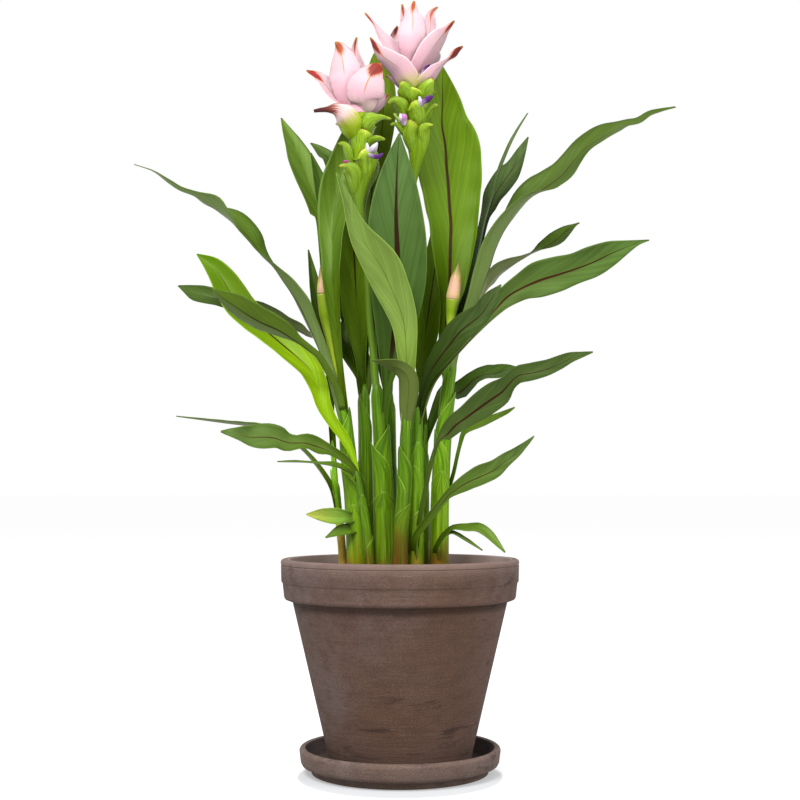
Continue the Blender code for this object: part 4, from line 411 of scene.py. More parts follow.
# A flower head's axis holds (x, z, depth, radius): its scape, then the thick green core under the green
# bracts, up to the split; then the core inside the pink bracts. Each bract is drawn as a leaf is.
BLOOMS = {
    "bloom_left": Bloom([(-20.5, 330, -2, 3), (-23.5, 362, -2, 3), (-27, 400, -2, 3), (-29.5, 440, -3, 3),
        (-33, 475, -4, 3.8), (-35.5, 498, -6, 4.8), (-35.5, 512, -7, 7.4), (-34.5, 528, -8, 10),
        (-34.5, 550, -9, 11), (-36, 569, -9, 11), (-37.5, 583, -9, 10.5)], [
        (-37.6, 583.7, -9, 9), (-39, 597, -9, 8), (-40.5, 611, -9, 5.5), (-42, 625, -9, 2)], [
        pouch("apron_left", [(-39, 561, -17, 178, 6), (-42.5, 568.8, -25, 172, 9.6),
            (-45.2, 576.2, -31, 166, 10.8), (-50.6, 583.5, -35, 158, 10), (-57.9, 588.4, -35, 150, 5.9),
            (-65.1, 588.6, -34, 145, 2.6), (-72.3, 588.1, -32, 145, 1.7),
            (-77.7, 587.2, -31, 145, 1.2)], 0.9, 0.1, "apron_bract"),
        pouch("pouch_upper", [(-35.5, 541, -15, 180, 5), (-36, 548.1, -18, 180, 7.5),
            (-35.4, 557.8, -20.5, 178, 9.4), (-34.8, 564.2, -22.5, 176, 10.2), (-34, 568.5, -23, 176, 9.2),
            (-33.5, 571, -23, 176, 5)], 1.15),
        pouch("rim_top_right", [(-34, 557, -13, -168, 5.5), (-31.6, 566.1, -18, -162, 7),
            (-29.8, 573.4, -22, -155, 8), (-26.2, 578.9, -24, -150, 7.6), (-20.8, 580.8, -23, -145, 4),
            (-14.5, 581.5, -21, -145, 1.8), (-7.5, 579.7, -18, -145, 0.6)], 0.9, 0.1),
        pouch("rim_mid_left", [(-39.5, 533, -13, 165, 3.5), (-43, 540, -16, 158, 3.8),
            (-45.5, 546.5, -18, 150, 4), (-47, 551.8, -20, 145, 3.9), (-49.3, 555.9, -21, 140, 3),
            (-52.5, 557.5, -21, 140, 1.8), (-55.8, 556.6, -20, 140, 0.6)]),
        pouch("rim_mid_right", [(-33, 546, -13, -165, 3), (-29.1, 554.6, -17, -150, 3.2),
            (-25.9, 559.7, -20, -140, 3.4), (-22.1, 562.1, -22, -130, 3), (-17.7, 562.4, -22, -125, 2),
            (-13, 561.3, -21, -120, 0.6)], 1.1),
        pouch("pouch_middle", [(-32, 512, -9, -178, 2.6), (-31.2, 523, -13, -176, 5.4),
            (-30.4, 532.7, -18, -175, 8.6), (-30.5, 539.1, -21, -174, 10.8), (-31, 544.6, -24, -174, 11.4),
            (-33, 548.6, -25, -174, 9), (-35.5, 551.2, -24, -174, 4)], 1.15),
        pouch("pouch_low", [(-37.5, 500, -7, 176, 2.2), (-39, 508, -10, 175, 3.4),
            (-40.2, 516, -15, 174, 5.2), (-41, 523, -19, 172, 7), (-42, 529.5, -23, 168, 8),
            (-44.6, 534.6, -26, 160, 6.6), (-49, 537, -27, 150, 2.6), (-55.6, 536.7, -26, 145, 0.6)], 1.1),
        pouch("pouch_low_right", [(-31, 512, -7, -170, 2), (-28, 521, -9, -165, 3.2),
            (-25, 529, -11, -160, 4), (-22, 536, -12, -155, 3.4), (-19.6, 541.5, -12, -150, 0.8)]),
        pouch("rim_top_rear", [(-36.5, 565, 0, -20, 7), (-34.5, 572.5, 8, -20, 9), (-31, 578.5, 16, -20, 7),
            (-28, 583, 25, -20, 0.6)]),
        pouch("rim_low_rear", [(-37.5, 542, -1, 10, 6), (-39.5, 549, 8, 10, 8), (-41.5, 554.5, 15, 10, 6),
            (-43, 557.5, 23, 10, 0.6)]),
    ], [
        petal("front_right", [(-35, 586, -14, 178, 5), (-32, 592, -19, 178, 9.8),
            (-32.3, 599.5, -24, 174, 15.6), (-29.7, 610, -27, 170, 16.5), (-25, 620.3, -27, 166, 12.3),
            (-21.5, 625.5, -26, 164, 8), (-18.8, 628.6, -25, 162, 4.6),
            (-16.6, 630.4, -24, 160, 0.6)], "rusty_bract"),
        petal("upright_left", [(-43, 590, -9, 172, 5), (-47.5, 599, -12, 170, 9.5),
            (-49.5, 610.5, -14, 168, 12.6), (-49.3, 622, -14, 168, 14.8), (-51.3, 634, -12, 170, 12),
            (-53.6, 643.2, -9, 172, 7.2), (-56, 647.8, -7, 174, 3.8),
            (-58.6, 650.4, -6, 176, 0.6)], "orange_bract"),
        petal("far_left", [(-43, 590, -7, 50, 5), (-51.5, 598, -6, 48, 6), (-58.8, 604.7, -5, 46, 6.6),
            (-64.6, 611.5, -5, 46, 6.4), (-70.1, 617.1, -6, 48, 4.8), (-76.8, 621.2, -7, 50, 2.8),
            (-81.4, 623, -8, 50, 1.6), (-84.5, 624.6, -9, 50, 0.6)], "streaked_bract"),
        petal("rear_right", [(-37, 592.5, -6, -30, 5), (-34.5, 605, 2, -26, 6.5), (-36, 616.5, 6, -22, 7),
            (-37.7, 627, 8, -18, 6.2), (-40.7, 638, 9, -10, 4.8), (-40.9, 646.5, 9, -4, 2.4),
            (-39.2, 655, 8, 0, 0.6)]),
        petal("rear_middle", [(-39, 592, -6, 0, 5), (-41, 605, 8, 0, 8), (-43, 617.5, 13, 4, 9.5),
            (-45.5, 630, 16, 6, 8.5), (-47.5, 640, 17, 8, 5.5), (-52.5, 648.5, 18, 10, 0.6)]),
        petal("right_edge", [(-34, 588, -9, -150, 4), (-27, 588.5, -12, -150, 4.6),
            (-20, 592.5, -13, -150, 4.5), (-14.5, 597.5, -13, -150, 3), (-11, 603, -12, -150, 0.6)]),
        petal("rear_left_low", [(-39, 591, -6, 30, 5), (-43.5, 599.5, 10, 30, 8), (-48, 608, 24, 34, 8),
            (-51, 615.5, 37, 36, 5), (-53, 620.5, 46, 38, 0.6)]),
        petal("rear_right_low", [(-37.5, 591, -6, -30, 5), (-31, 598.5, 10, -34, 8), (-27, 606, 22, -36, 8),
            (-24, 613, 33, -38, 5), (-22, 618.5, 42, -40, 0.6)]),
    ]),
    "bloom_right": Bloom([(7, 326, 6, 3), (5, 365, 7, 3), (4.5, 410, 8, 3), (5, 455, 8, 3),
        (8, 500, 8, 3.2), (13, 530, 7, 4), (15.5, 549, 6, 8), (15.5, 565, 5, 10), (15.5, 578, 5, 10.5),
        (15, 592, 4.5, 10.8), (14.5, 606, 4, 10.5)], [
        (14.5, 606.7, 4, 9.5), (14, 622, 3.5, 8), (13.5, 638, 3, 5), (13, 652, 2.5, 2)], [
        pouch("pouch_top", [(12.8, 588, -3, 180, 4), (12.8, 594, -8, 180, 7.4), (12.6, 600, -12, 180, 10),
            (13.4, 604, -14, 180, 12), (14.4, 606.8, -15, 180, 11), (15, 608.4, -15, 180, 6)], 1.15),
        pouch("collar_left", [(12, 594, -6, 178, 5), (8.5, 600, -11, 174, 7.4), (5.5, 605.5, -14, 168, 7.8),
            (2.8, 610.5, -16, 160, 5), (0.2, 613.6, -16, 155, 1.4)], 0.9),
        pouch("collar_right", [(15, 594, -6, -178, 5), (19.5, 600, -11, -174, 7.4),
            (23, 606, -14, -168, 7.8), (26.6, 612, -16, -160, 5), (30, 616.4, -16, -155, 1.4)], 0.9),
        pouch("rim_high_left", [(9, 571, -1, 170, 4), (4, 580, -5, 165, 5.4), (2.6, 587.6, -9, 160, 6.6),
            (0.7, 593, -12, 155, 6.6), (-2.9, 596.6, -14, 150, 4.2), (-7.3, 597, -14, 145, 2.4),
            (-11.7, 593.7, -13, 140, 0.6)], 0.9, 0.1),
        pouch("pouch_high_middle", [(14.6, 566, -2, -178, 4), (15.2, 573, -6, -176, 6.6),
            (16, 580, -10, -175, 9), (16, 585.5, -13, -174, 10.2), (14.8, 590.5, -16, -174, 9),
            (13, 594, -17, -174, 6), (11.6, 596.2, -17, -174, 2.5)], 1.15),
        pouch("rim_high_right", [(19, 575, -2, -165, 4), (24, 583.5, -8, -155, 4),
            (27, 588.8, -12, -145, 3), (30, 591.6, -14, -140, 2.2), (32.5, 592.5, -14, -130, 1.5),
            (34, 590.8, -13, -130, 0.6)]),
        pouch("curl_high_right", [(19, 592, -1, -150, 2.5), (22.4, 599, -5, -140, 1.9),
            (25.5, 602.7, -7, -135, 2), (29, 604.8, -8, -130, 1.9), (32.2, 604.4, -8, -130, 0.6)]),
        pouch("finger_left", [(6, 569, -3, 160, 2.4), (0.5, 576, -7, 155, 1.6), (-3.2, 581.6, -8, 150, 1.3),
            (-5.9, 585.4, -8, 150, 0.5)]),
        pouch("rim_mid_left", [(7, 563, -2, 160, 2.8), (1.5, 569.5, -6, 155, 2.4),
            (-1.5, 573.6, -8, 150, 2), (-4.6, 575.6, -9, 145, 1.5), (-8.8, 574.6, -9, 140, 0.5)]),
        pouch("pouch_low", [(14, 540, 3, 178, 2), (12.2, 550, 0, 177, 3.6), (9.9, 559.3, -5, 176, 6),
            (8.8, 567, -9, 175, 6.8), (10.2, 573.2, -12, 175, 6.2), (12.3, 577.8, -14, 175, 3)], 1.15),
        pouch("pouch_low_right", [(17.4, 539, 4, -176, 2), (20, 549.5, 1, -175, 3.2),
            (21.4, 559.3, -3, -173, 5.4), (21, 567, -7, -170, 6.6), (22.6, 572, -10, -165, 4.8),
            (26.2, 574.3, -11, -155, 1.9), (30.6, 573.9, -11, -150, 0.5)], 1.1),
        pouch("rim_rear", [(14.5, 590, 10, 0, 6), (15, 597.5, 19, 0, 9), (16, 604, 28, 0, 7),
            (16.5, 607.5, 36, 0, 0.6)]),
        pouch("rim_rear_low", [(13.5, 565, 9, 20, 5), (11, 571, 17, 20, 7), (9, 576.5, 24, 20, 5.5),
            (7, 579.5, 31, 20, 0.6)]),
    ], [
        petal("upright_front", [(10, 627, -4, 180, 4.5), (8.2, 637, -8, 180, 6.5), (9, 646, -11, 180, 10.3),
            (11, 659, -12, 180, 12.9), (11.8, 671, -8, 180, 10.7), (11.2, 678, -5, 180, 7),
            (12, 683.3, -2, 180, 3.4), (12.8, 688.4, 0, 180, 0.6)], "golden_bract"),
        petal("front_left", [(13, 607.5, -9, 174, 7.5), (7.5, 616, -14, 170, 10.4),
            (0.5, 626.5, -19, 165, 10.4), (-6, 632, -22, 160, 9), (-13.9, 638, -24, 156, 7.3),
            (-21, 645.4, -25, 152, 3.6), (-24.2, 650.5, -26, 150, 1.7),
            (-26.9, 654.7, -26, 148, 0.6)], "keeled_bract"),
        petal("left_long", [(9, 627, 0, 50, 4), (1, 639.5, -3, 50, 5.4), (-7.3, 647.5, -5, 50, 5.4),
            (-13.8, 654, -7, 52, 4.8), (-18.8, 661, -8, 54, 3), (-22.8, 667, -9, 56, 1.6),
            (-27.2, 672.5, -10, 58, 1.1), (-31.7, 677.5, -11, 60, 0.6)], "tipped_bract"),
        petal("right_long", [(13.5, 620, -4, -155, 6), (18.5, 631.5, -8, -152, 8),
            (27.5, 645.5, -11, -150, 9.2), (35.5, 656, -12, -148, 7.2), (42, 662.7, -13, -146, 3.3),
            (45.7, 666.5, -13, -146, 1.8), (49.2, 670.3, -13, -146, 0.6)], "tipped_bract"),
        petal("low_right", [(16.5, 607.5, -7, -160, 6), (23.5, 616, -13, -155, 6.2),
            (30.5, 624.4, -16, -150, 5.2), (37.5, 630.6, -17, -140, 2.6), (43.5, 635.2, -17, -130, 1.6),
            (48.5, 639.7, -17, -140, 3), (52.9, 644, -17, -140, 2),
            (56.8, 646.6, -17, -140, 0.6)], "brown_bract"),
        petal("rear_right", [(17.5, 626, 8, -30, 5), (21, 640, 13, -28, 7), (24.5, 655, 16, -24, 7.4),
            (27, 665, 17, -22, 5.8), (27.2, 674, 17, -20, 4.6), (29.7, 679.2, 17, -20, 2.1),
            (34.2, 683, 16, -20, 0.6)], "faint_bract"),
        petal("rear_left", [(6, 628, 6, 30, 5), (0, 640, 10, 30, 6.8), (-4, 651, 13, 32, 5.6),
            (-3.8, 658.5, 14, 32, 3.4), (-2.1, 665.3, 14, 32, 0.6)], "tipped_bract"),
        petal("rear_top", [(11.5, 628, 8, 0, 5), (9, 643, 15, 4, 7), (6.5, 657.5, 18, 8, 6.5),
            (3.5, 674.5, 18, 12, 3.1), (2, 685.5, 17, 14, 0.6)]),
        petal("left_low", [(7, 603, -1, 150, 2.6), (1.5, 608.5, -4, 150, 1.9), (-5.5, 615, -6, 150, 1.7),
            (-13, 620, -7, 150, 0.6)], "thin_bract"),
        petal("rear_low_left", [(11.5, 615.5, 7, 30, 5), (3, 625, 18, 32, 8), (-4, 634.5, 26, 34, 7.5),
            (-10.5, 643, 31, 36, 4), (-14.8, 648.3, 34, 38, 0.6)]),
        petal("rear_low_right", [(16, 615.5, 7, -30, 5), (21.5, 624, 22, -34, 8), (26, 632.5, 33, -36, 8),
            (29.5, 639, 43, -38, 5), (32, 644, 50, -40, 0.6)]),
    ]),
}

# Small flowers that look out of the bracts of a node: each petal's finish and its route.
FLORETS = {
    "bloom_left_green": [
        Leaf("petal_upper", "floret_white", [(-27, 545, -19, -170, 2), (-25.4, 550, -24, -170, 3),
            (-23, 554, -27, -170, 2.6), (-20.3, 558.2, -28, -170, 0.5)], 0.2, 0.0, 0.6),
        Leaf("petal_side", "floret_white", [(-28.5, 543.5, -20, 170, 1.6), (-29, 551.5, -25, 170, 1.9),
            (-29.8, 558, -27, 170, 0.5)], 0.2, 0.0, 0.6),
        Leaf("lip", "floret_violet", [(-29, 547.5, -22, -150, 1.2), (-26.5, 546.6, -27, -150, 1.6),
            (-22.5, 545.4, -30, -150, 1.7), (-18.6, 546, -31, -150, 1.6),
            (-15.3, 548.4, -30, -150, 0.6)], 0.0, 0.0, 1.0),
        Leaf("small_left", "floret_magenta", [(-44, 536, -20, 160, 1.2), (-46.5, 538.6, -23, 155, 2.2),
            (-49.2, 540.3, -25, 150, 2), (-51, 541, -25, 150, 0.5)], 0.0, 0.0, 1.0),
    ],
    "bloom_right_green": [
        Leaf("high", "floret_violet", [(18, 590.5, -13, -150, 1.2), (20.6, 595, -17, -150, 2.2),
            (24, 597.4, -19, -150, 2.6), (27.4, 599.6, -20, -150, 2),
            (30.2, 600.8, -20, -150, 0.5)], 0.2, 0.0, 0.8),
        Leaf("high_side", "floret_white", [(18.6, 591, -15, 180, 1.2), (18.2, 596.2, -18, 180, 1.6),
            (17.4, 600.6, -19, 180, 0.5)], 0.2, 0.0, 0.6),
        Leaf("middle", "floret_lilac", [(4.2, 574, -10, 178, 1.8), (3.6, 577, -13, 176, 2.6),
            (3.2, 580.4, -16, 175, 3.2), (3, 583.4, -17, 175, 3),
            (3, 584.6, -17, 175, 1.4)], 0.0, 0.0, 1.2),
        Leaf("middle_side", "floret_white", [(1.8, 576, -12, 170, 1), (0.6, 580.5, -16, 168, 1.5),
            (0.4, 584.8, -17, 166, 0.5)], 0.0, 0.0, 1.0),
    ],
    "bloom_right_pink": [
        Leaf("peek", "floret_violet", [(20, 620, -7, -150, 1.4), (23.6, 626.4, -9, -150, 1.7),
            (27, 629.6, -10, -150, 0.6)], 0.0, 0.0, 1.0),
    ],
}

# A bud's half width, the share of it that is green, and its axis.
BUDS = {
    "bud_left": Bud(5.2, 0.8, [(-51, 318, 2), (-55.5, 342, 2), (-59.5, 364, 2), (-63.5, 384, 2),
        (-67.5, 404, 1), (-70, 424, 0), (-71, 447, 0)]),
    "bud_right": Bud(6.2, 0.62, [(46, 360, 2), (46, 376, 0), (45, 392, -2), (46, 408, -3), (49, 428, -4),
        (52.5, 449, -4)]),
}


def tone(colour, gain=1.0, grey=0.0):
    """A colour as it looks under these lights, 0 to 255, as the linear colour of the surface itself."""
    mean = sum(colour) / 3
    parts = [min(255, gain * (part + grey * (mean - part))) / 255 for part in colour]
    seen = [p / 12.92 if p <= 0.04045 else ((p + 0.055) / 1.055) ** 2.4 for p in parts]
    return (*[max(0.001, (part - GLOSS_SHARE) / LIGHT_SHARE) for part in seen], 1.0)


class Paint:
    """One material, the colour that it has so far, and short calls that add nodes to it.

    Each tone is made gain times brighter and greyed by a share before it is laid on.
    """

    def __init__(self, name, roughness, specular=0.2, tint=None, gain=1.0, grey=0.0):
        self.material = bpy.data.materials.new(name)
        self.material.use_nodes = True
        self.tree = self.material.node_tree
        self.shader = self.tree.nodes["Principled BSDF"]
        self.gain, self.grey, self.now = gain, grey, None
        self.feed(self.shader, Roughness=roughness, Specular_IOR_Level=specular)
        if tint:
            self.feed(self.shader, Specular_Tint=(*tint, 1))

    def set(self, socket, value):
        """Links a node's output, or writes a plain value."""
        if isinstance(value, bpy.types.NodeSocket):
            self.tree.links.new(value, socket)
        else:
            socket.default_value = value

    def feed(self, node, **values):
        """Sets sockets by their names, with underscores for the spaces."""
        for name, value in values.items():
            self.set(node.inputs[name.replace("_", " ")], value)

    def node(self, kind, *values, **settings):
        """A new node with its settings made and its first sockets set in their order."""
        node = self.tree.nodes.new("ShaderNode" + kind)
        for name, value in settings.items():
            setattr(node, name, value)
        for socket, value in zip(node.inputs, values):
            self.set(socket, value)
        return node

    def attribute(self, name):
        """A number kept at each point of the mesh."""
        return self.node("Attribute", attribute_name=name).outputs["Fac"]

    def math(self, operation, a, b=0.0):
        """One sum on one or two numbers."""
        return self.node("Math", a, b, operation=operation).outputs[0]

    def times(self, a, b):
        """One number times another."""
        return self.math("MULTIPLY", a, b)

    def smooth(self, value, low, high, to_low=0.0, to_high=1.0):
        """Runs smoothly from to_low to to_high as the value runs from low to high."""
        node = self.node("MapRange", value, low, high, to_low, to_high, interpolation_type="SMOOTHSTEP")
        return node.outputs[0]

    def drift(self, value, cloud, reach):
        """The value, moved up and down by a cloud of noise."""
        return self.math("ADD", value, self.times(self.math("SUBTRACT", cloud, 0.5), reach))

    def mix(self, share, a, b):
        """Colour a where the share is 0 and b where it is 1."""
        node = self.node("Mix", data_type="RGBA")
        self.feed(node, Factor=share, A=a, B=b)
        return node.outputs["Result"]

    def base(self, value, *stops):
        """The first colour: a ramp along the value, from (position, tone) stops."""
        node = self.node("ValToRGB", value)
        points = node.color_ramp.elements
        while len(points) < len(stops):
            points.new(0.5)
        for point, (position, colour) in zip(points, stops):
            point.position = position
            point.color = tone(colour, self.gain, self.grey)
        self.now = node.outputs[0]

    def coat(self, share, colour, gain=1.0):
        """Another tone laid over the colour so far, fully where the share is 1."""
        self.now = self.mix(share, self.now, tone(colour, self.gain * gain, self.grey))

    def place(self, stretch=(1, 1, 1), turn=(0, 0, 0)):
        """The object's own coordinates in metres, turned and stretched."""
        where = self.node("TexCoord").outputs["Object"]
        return self.node("Mapping", where, (0, 0, 0), turn, stretch).outputs[0]

    def distance(self, stretch=(1, 1, 1), centre=(0, 0, 0)):
        """How far a point of the object is from a centre, in metres."""
        node = self.node("VectorMath", self.place(stretch), centre, operation="DISTANCE")
        return node.outputs["Value"]

    def noise(self, where, scale, detail=3.0, roughness=0.5):
        """Soft noise, 0 to 1."""
        node = self.node("TexNoise")
        self.feed(node, Vector=where, Scale=scale, Detail=detail, Roughness=roughness)
        return node.outputs["Fac"]

    def blade_noise(self, run, along, cross, across, detail, roughness=0.5):
        """Soft noise over two of the mesh's numbers, each stretched, and apart for each piece."""
        run, cross = self.times(self.attribute(run), along), self.times(self.attribute(cross), across)
        where = self.node("CombineXYZ", run, cross, self.attribute("seed")).outputs[0]
        return self.noise(where, 1.0, detail, roughness)

    def lines(self, along, across, detail, roughness=0.5):
        """Soft noise that runs with the blade."""
        return self.blade_noise("along", along, "across", across, detail, roughness)

    def veins(self, spacing, detail, roughness=0.5):
        """Soft noise that runs with a leaf's slanting side veins, spacing millimetres apart."""
        return self.blade_noise("vein", 1 / (spacing * MM), "along", VEIN_STRETCH, detail, roughness)

    def done(self, relief=None, depth=0.0, strength=1.0):
        """The finished material, with a small relief of so many millimetres."""
        if relief:
            node = self.node("Bump")
            self.feed(node, Strength=strength, Distance=depth * MM, Height=relief)
            self.feed(self.shader, Normal=node.outputs[0])
        self.feed(self.shader, Base_Color=self.now)
        return self.material


# The greens of the leaves: the upper face at the root, middle and tip, the underside, the midrib, the
# midrib's half width as a share of the blade's, where along the blade it starts, and whether only the
# right half shows its underside.
Green = namedtuple("Green", "root middle tip under rib rib_width rib_from half_turned", defaults=(0,))
GREENS = {
    "bluish": Green((68, 94, 30), (78, 104, 52), (80, 108, 60), (112, 126, 80), (50, 20, 24), 0.16, 0.1),
    "bright": Green((70, 94, 12), (96, 128, 26), (116, 150, 38), (116, 140, 60), (62, 26, 18), 0.1, 0.05),
    "fresh": Green((94, 116, 18), (82, 110, 34), (108, 138, 54), (108, 130, 60), (60, 76, 20), 0.03, 0.1),
    "striped": Green((84, 106, 38), (86, 107, 54), (98, 130, 64), (104, 130, 56), (66, 30, 26), 0.12, 0.15),
    "dark": Green((66, 94, 18), (74, 100, 38), (80, 106, 46), (98, 124, 46), (58, 30, 26), 0.08, 0.3),
    "glossy": Green((82, 104, 24), (76, 94, 50), (80, 100, 56), (94, 114, 54), (56, 26, 26), 0.12, 0.25),
    "shaded": Green((44, 60, 10), (56, 73, 34), (88, 108, 64), (92, 112, 52), (50, 26, 24), 0.1, 0.2),
    "cross": Green((68, 88, 24), (62, 82, 28), (80, 104, 50), (114, 126, 74), (50, 26, 24), 0.08, 0.3),
    "deep": Green((52, 70, 10), (102, 134, 14), (104, 128, 34), (84, 104, 46), (56, 30, 20), 0.06, 0.3),
    "gap": Green((90, 114, 14), (102, 136, 22), (150, 186, 66), (84, 104, 46), (60, 34, 22), 0.055, 0.3),
    "mid": Green((96, 124, 32), (98, 130, 46), (100, 126, 50), (112, 128, 70), (66, 62, 30), 0.0, 0.0),
    "silvery": Green((76, 100, 44), (78, 99, 46), (82, 102, 44), (118, 142, 76), (58, 36, 24), 0.05, 0.1, 1),
    "hazel": Green((80, 106, 38), (82, 108, 40), (90, 112, 50), (128, 152, 88), (58, 36, 24), 0.05, 0.1),
    "soft": Green((82, 104, 30), (90, 116, 48), (96, 120, 66), (114, 130, 72), (66, 40, 28), 0.08, 0.2),
    "grey": Green((60, 80, 34), (84, 108, 44), (98, 126, 50), (114, 124, 80), (56, 32, 28), 0.09, 0.5),
    "strap": Green((62, 82, 28), (58, 84, 24), (112, 130, 78), (58, 86, 24), (56, 36, 26), 0.06, 0.4),
    "lime": Green((140, 180, 18), (138, 174, 16), (84, 124, 18), (110, 150, 26), (62, 28, 18), 0.06, 0.35),
    "pale": Green((132, 164, 56), (128, 154, 74), (100, 124, 60), (124, 154, 66), (78, 104, 40), 0.03, 0.1),
    "folded": Green((100, 116, 56), (100, 116, 58), (90, 112, 44), (100, 116, 60), (70, 80, 40), 0.0, 0.0),
    "straw": Green((100, 136, 48), (130, 168, 66), (194, 196, 88), (120, 140, 70), (90, 110, 40), 0.0, 0.0),
}


def leaf_paint(name, green):
    """A leaf: greens that drift along it, fine veins, a midrib and a duller underside."""
    paint = Paint(name, 0.42, 0.12, LEAF_TINT)
    along, across = paint.attribute("along"), paint.attribute("across")
    aside = paint.math("ABSOLUTE", across)
    moved = paint.drift(along, paint.lines(5, 1.3, 4), 0.3)
    paint.base(moved, (0.08, green.root), (0.42, green.middle), (0.95, green.tip))
    coarse = paint.times(paint.veins(2.6, 3, 0.6), 0.7)
    streak = paint.math("ADD", coarse, paint.times(paint.veins(0.8, 1), 0.3))
    paint.coat(paint.smooth(streak, 0.36, 0.66, 0.0, 0.5), green.middle, 0.8)
    paint.coat(paint.smooth(streak, 0.5, 0.3, 0.0, 0.25), green.middle, 1.2)
    under = paint.mix(paint.smooth(streak, 0.3, 0.7, 0.0, 0.5), tone(green.under), tone(green.under, 0.86))
    turned = paint.attribute("under")
    if green.half_turned:
        turned = paint.times(turned, paint.smooth(across, -0.03, 0.03))
    paint.now = paint.mix(paint.smooth(turned, 0.4, 0.6), paint.now, under)
    if green.rib_width:
        width = paint.smooth(along, green.rib_from, 1.0, green.rib_width, RIB_TIP_SHARE * green.rib_width)
        inside = paint.smooth(paint.math("SUBTRACT", aside, width), -0.02, 0.02, 1.0, 0.0)
        started = paint.smooth(along, green.rib_from, green.rib_from + RIB_START)
        paint.coat(paint.times(inside, started), green.rib)
    else:
        paint.coat(paint.smooth(aside, 0.0, 0.1, 0.5, 0.0), green.tip, 0.7)
    paint.coat(paint.smooth(aside, 0.55, 0.95, 0.0, 0.3), green.middle, 0.72)
    paint.coat(paint.smooth(aside, 0.955, 0.99, 0.0, 0.6), green.middle, 1.25)
    return paint.done(streak, 0.25, 0.6)


def stem_paint(name, brown_to, gain, brown=(122, 78, 28), root=(92, 50, 20)):
    """Rolled sheaths: brown up to a share of the stem, then fresh green with fine ribs along them."""
    paint = Paint(name, 0.4, 0.18, STEM_TINT, gain)
    along = paint.attribute("along")
    lines = paint.lines(2.5, 9, 5, 0.6)
    patches = paint.lines(7, 2.2, 3, 0.6)
    paint.base(paint.drift(along, lines, 0.5), (0.0, root), (brown_to, brown),
               (brown_to + 0.1, (108, 138, 28)), (0.6, (98, 138, 30)), (1.0, (82, 118, 34)))
    paint.coat(paint.smooth(lines, 0.44, 0.62, 0.0, 0.75), (60, 92, 14))
    paint.coat(paint.smooth(lines, 0.44, 0.32, 0.0, 0.55), (140, 176, 54))
    worn = paint.times(paint.smooth(patches, 0.5, 0.6, 0.0, 0.8), paint.smooth(along, 0.34, 0.14))
    paint.coat(worn, (126, 82, 46))
    aside = paint.math("ABSOLUTE", paint.attribute("across"))
    edge = paint.times(paint.smooth(aside, 0.86, 0.97, 0.0, 0.4), paint.smooth(along, 0.1, 0.3))
    paint.coat(edge, (156, 182, 76))
    return paint.done(lines, 0.5, 0.6)


def pouch_paint(name):
    """A glossy lime pouch: darker root, fine lines, painted highlight streaks, painted shade in the creases,
    a painted highlight along the lip, and a thin brown edge.
    """
    paint = Paint(name, 0.24, 0.42, POUCH_TINT)
    along, aside = paint.attribute("along"), paint.math("ABSOLUTE", paint.attribute("across"))
    lines = paint.lines(3, 9, 4, 0.65)
    paint.base(paint.drift(along, paint.lines(3, 4, 3), 0.5), (0.05, (108, 146, 22)),
               (0.3, (138, 176, 26)), (0.7, (148, 186, 22)), (1.0, (152, 182, 26)))
    paint.coat(paint.smooth(lines, 0.47, 0.64, 0.0, 0.7), (92, 134, 8))
    # Painted highlight: pale streaks along the pouch.
    paint.coat(paint.smooth(lines, 0.42, 0.32, 0.0, 0.7), (206, 230, 112))
    # Painted shade in the creases towards the pouch's edges.
    crease_shade = paint.smooth(paint.math("ADD", aside, paint.times(lines, 0.2)), 0.75, 1.0, 0.0, 0.4)
    paint.coat(crease_shade, (80, 114, 10))
    # Painted highlight: a pale band along the lip.
    paint.coat(paint.times(paint.smooth(along, 0.84, 0.93), 0.6), (190, 210, 60))
    rim = paint.math("MAXIMUM", paint.smooth(aside, 0.93, 0.98), paint.smooth(along, 0.965, 0.99))
    paint.coat(paint.times(rim, paint.smooth(along, 0.45, 0.7, 0.0, 0.85)), (122, 74, 34))
    return paint.done(lines, 0.9, 0.8)


def scape_paint(name, root, middle, top):
    """The flower stalk: soft green, fresher where it swells into the head or bud."""
    paint = Paint(name, 0.38, 0.2, STEM_TINT)
    lines = paint.lines(6, 7, 4, 0.6)
    paint.base(paint.drift(paint.attribute("along"), lines, 0.12), (0.3, root), (0.66, middle),
               (0.8, (124, 158, 22)), (1.0, top))
    paint.coat(paint.smooth(lines, 0.44, 0.66, 0.0, 0.6), root, 0.78)
    return paint.done(lines, 0.5, 0.6)


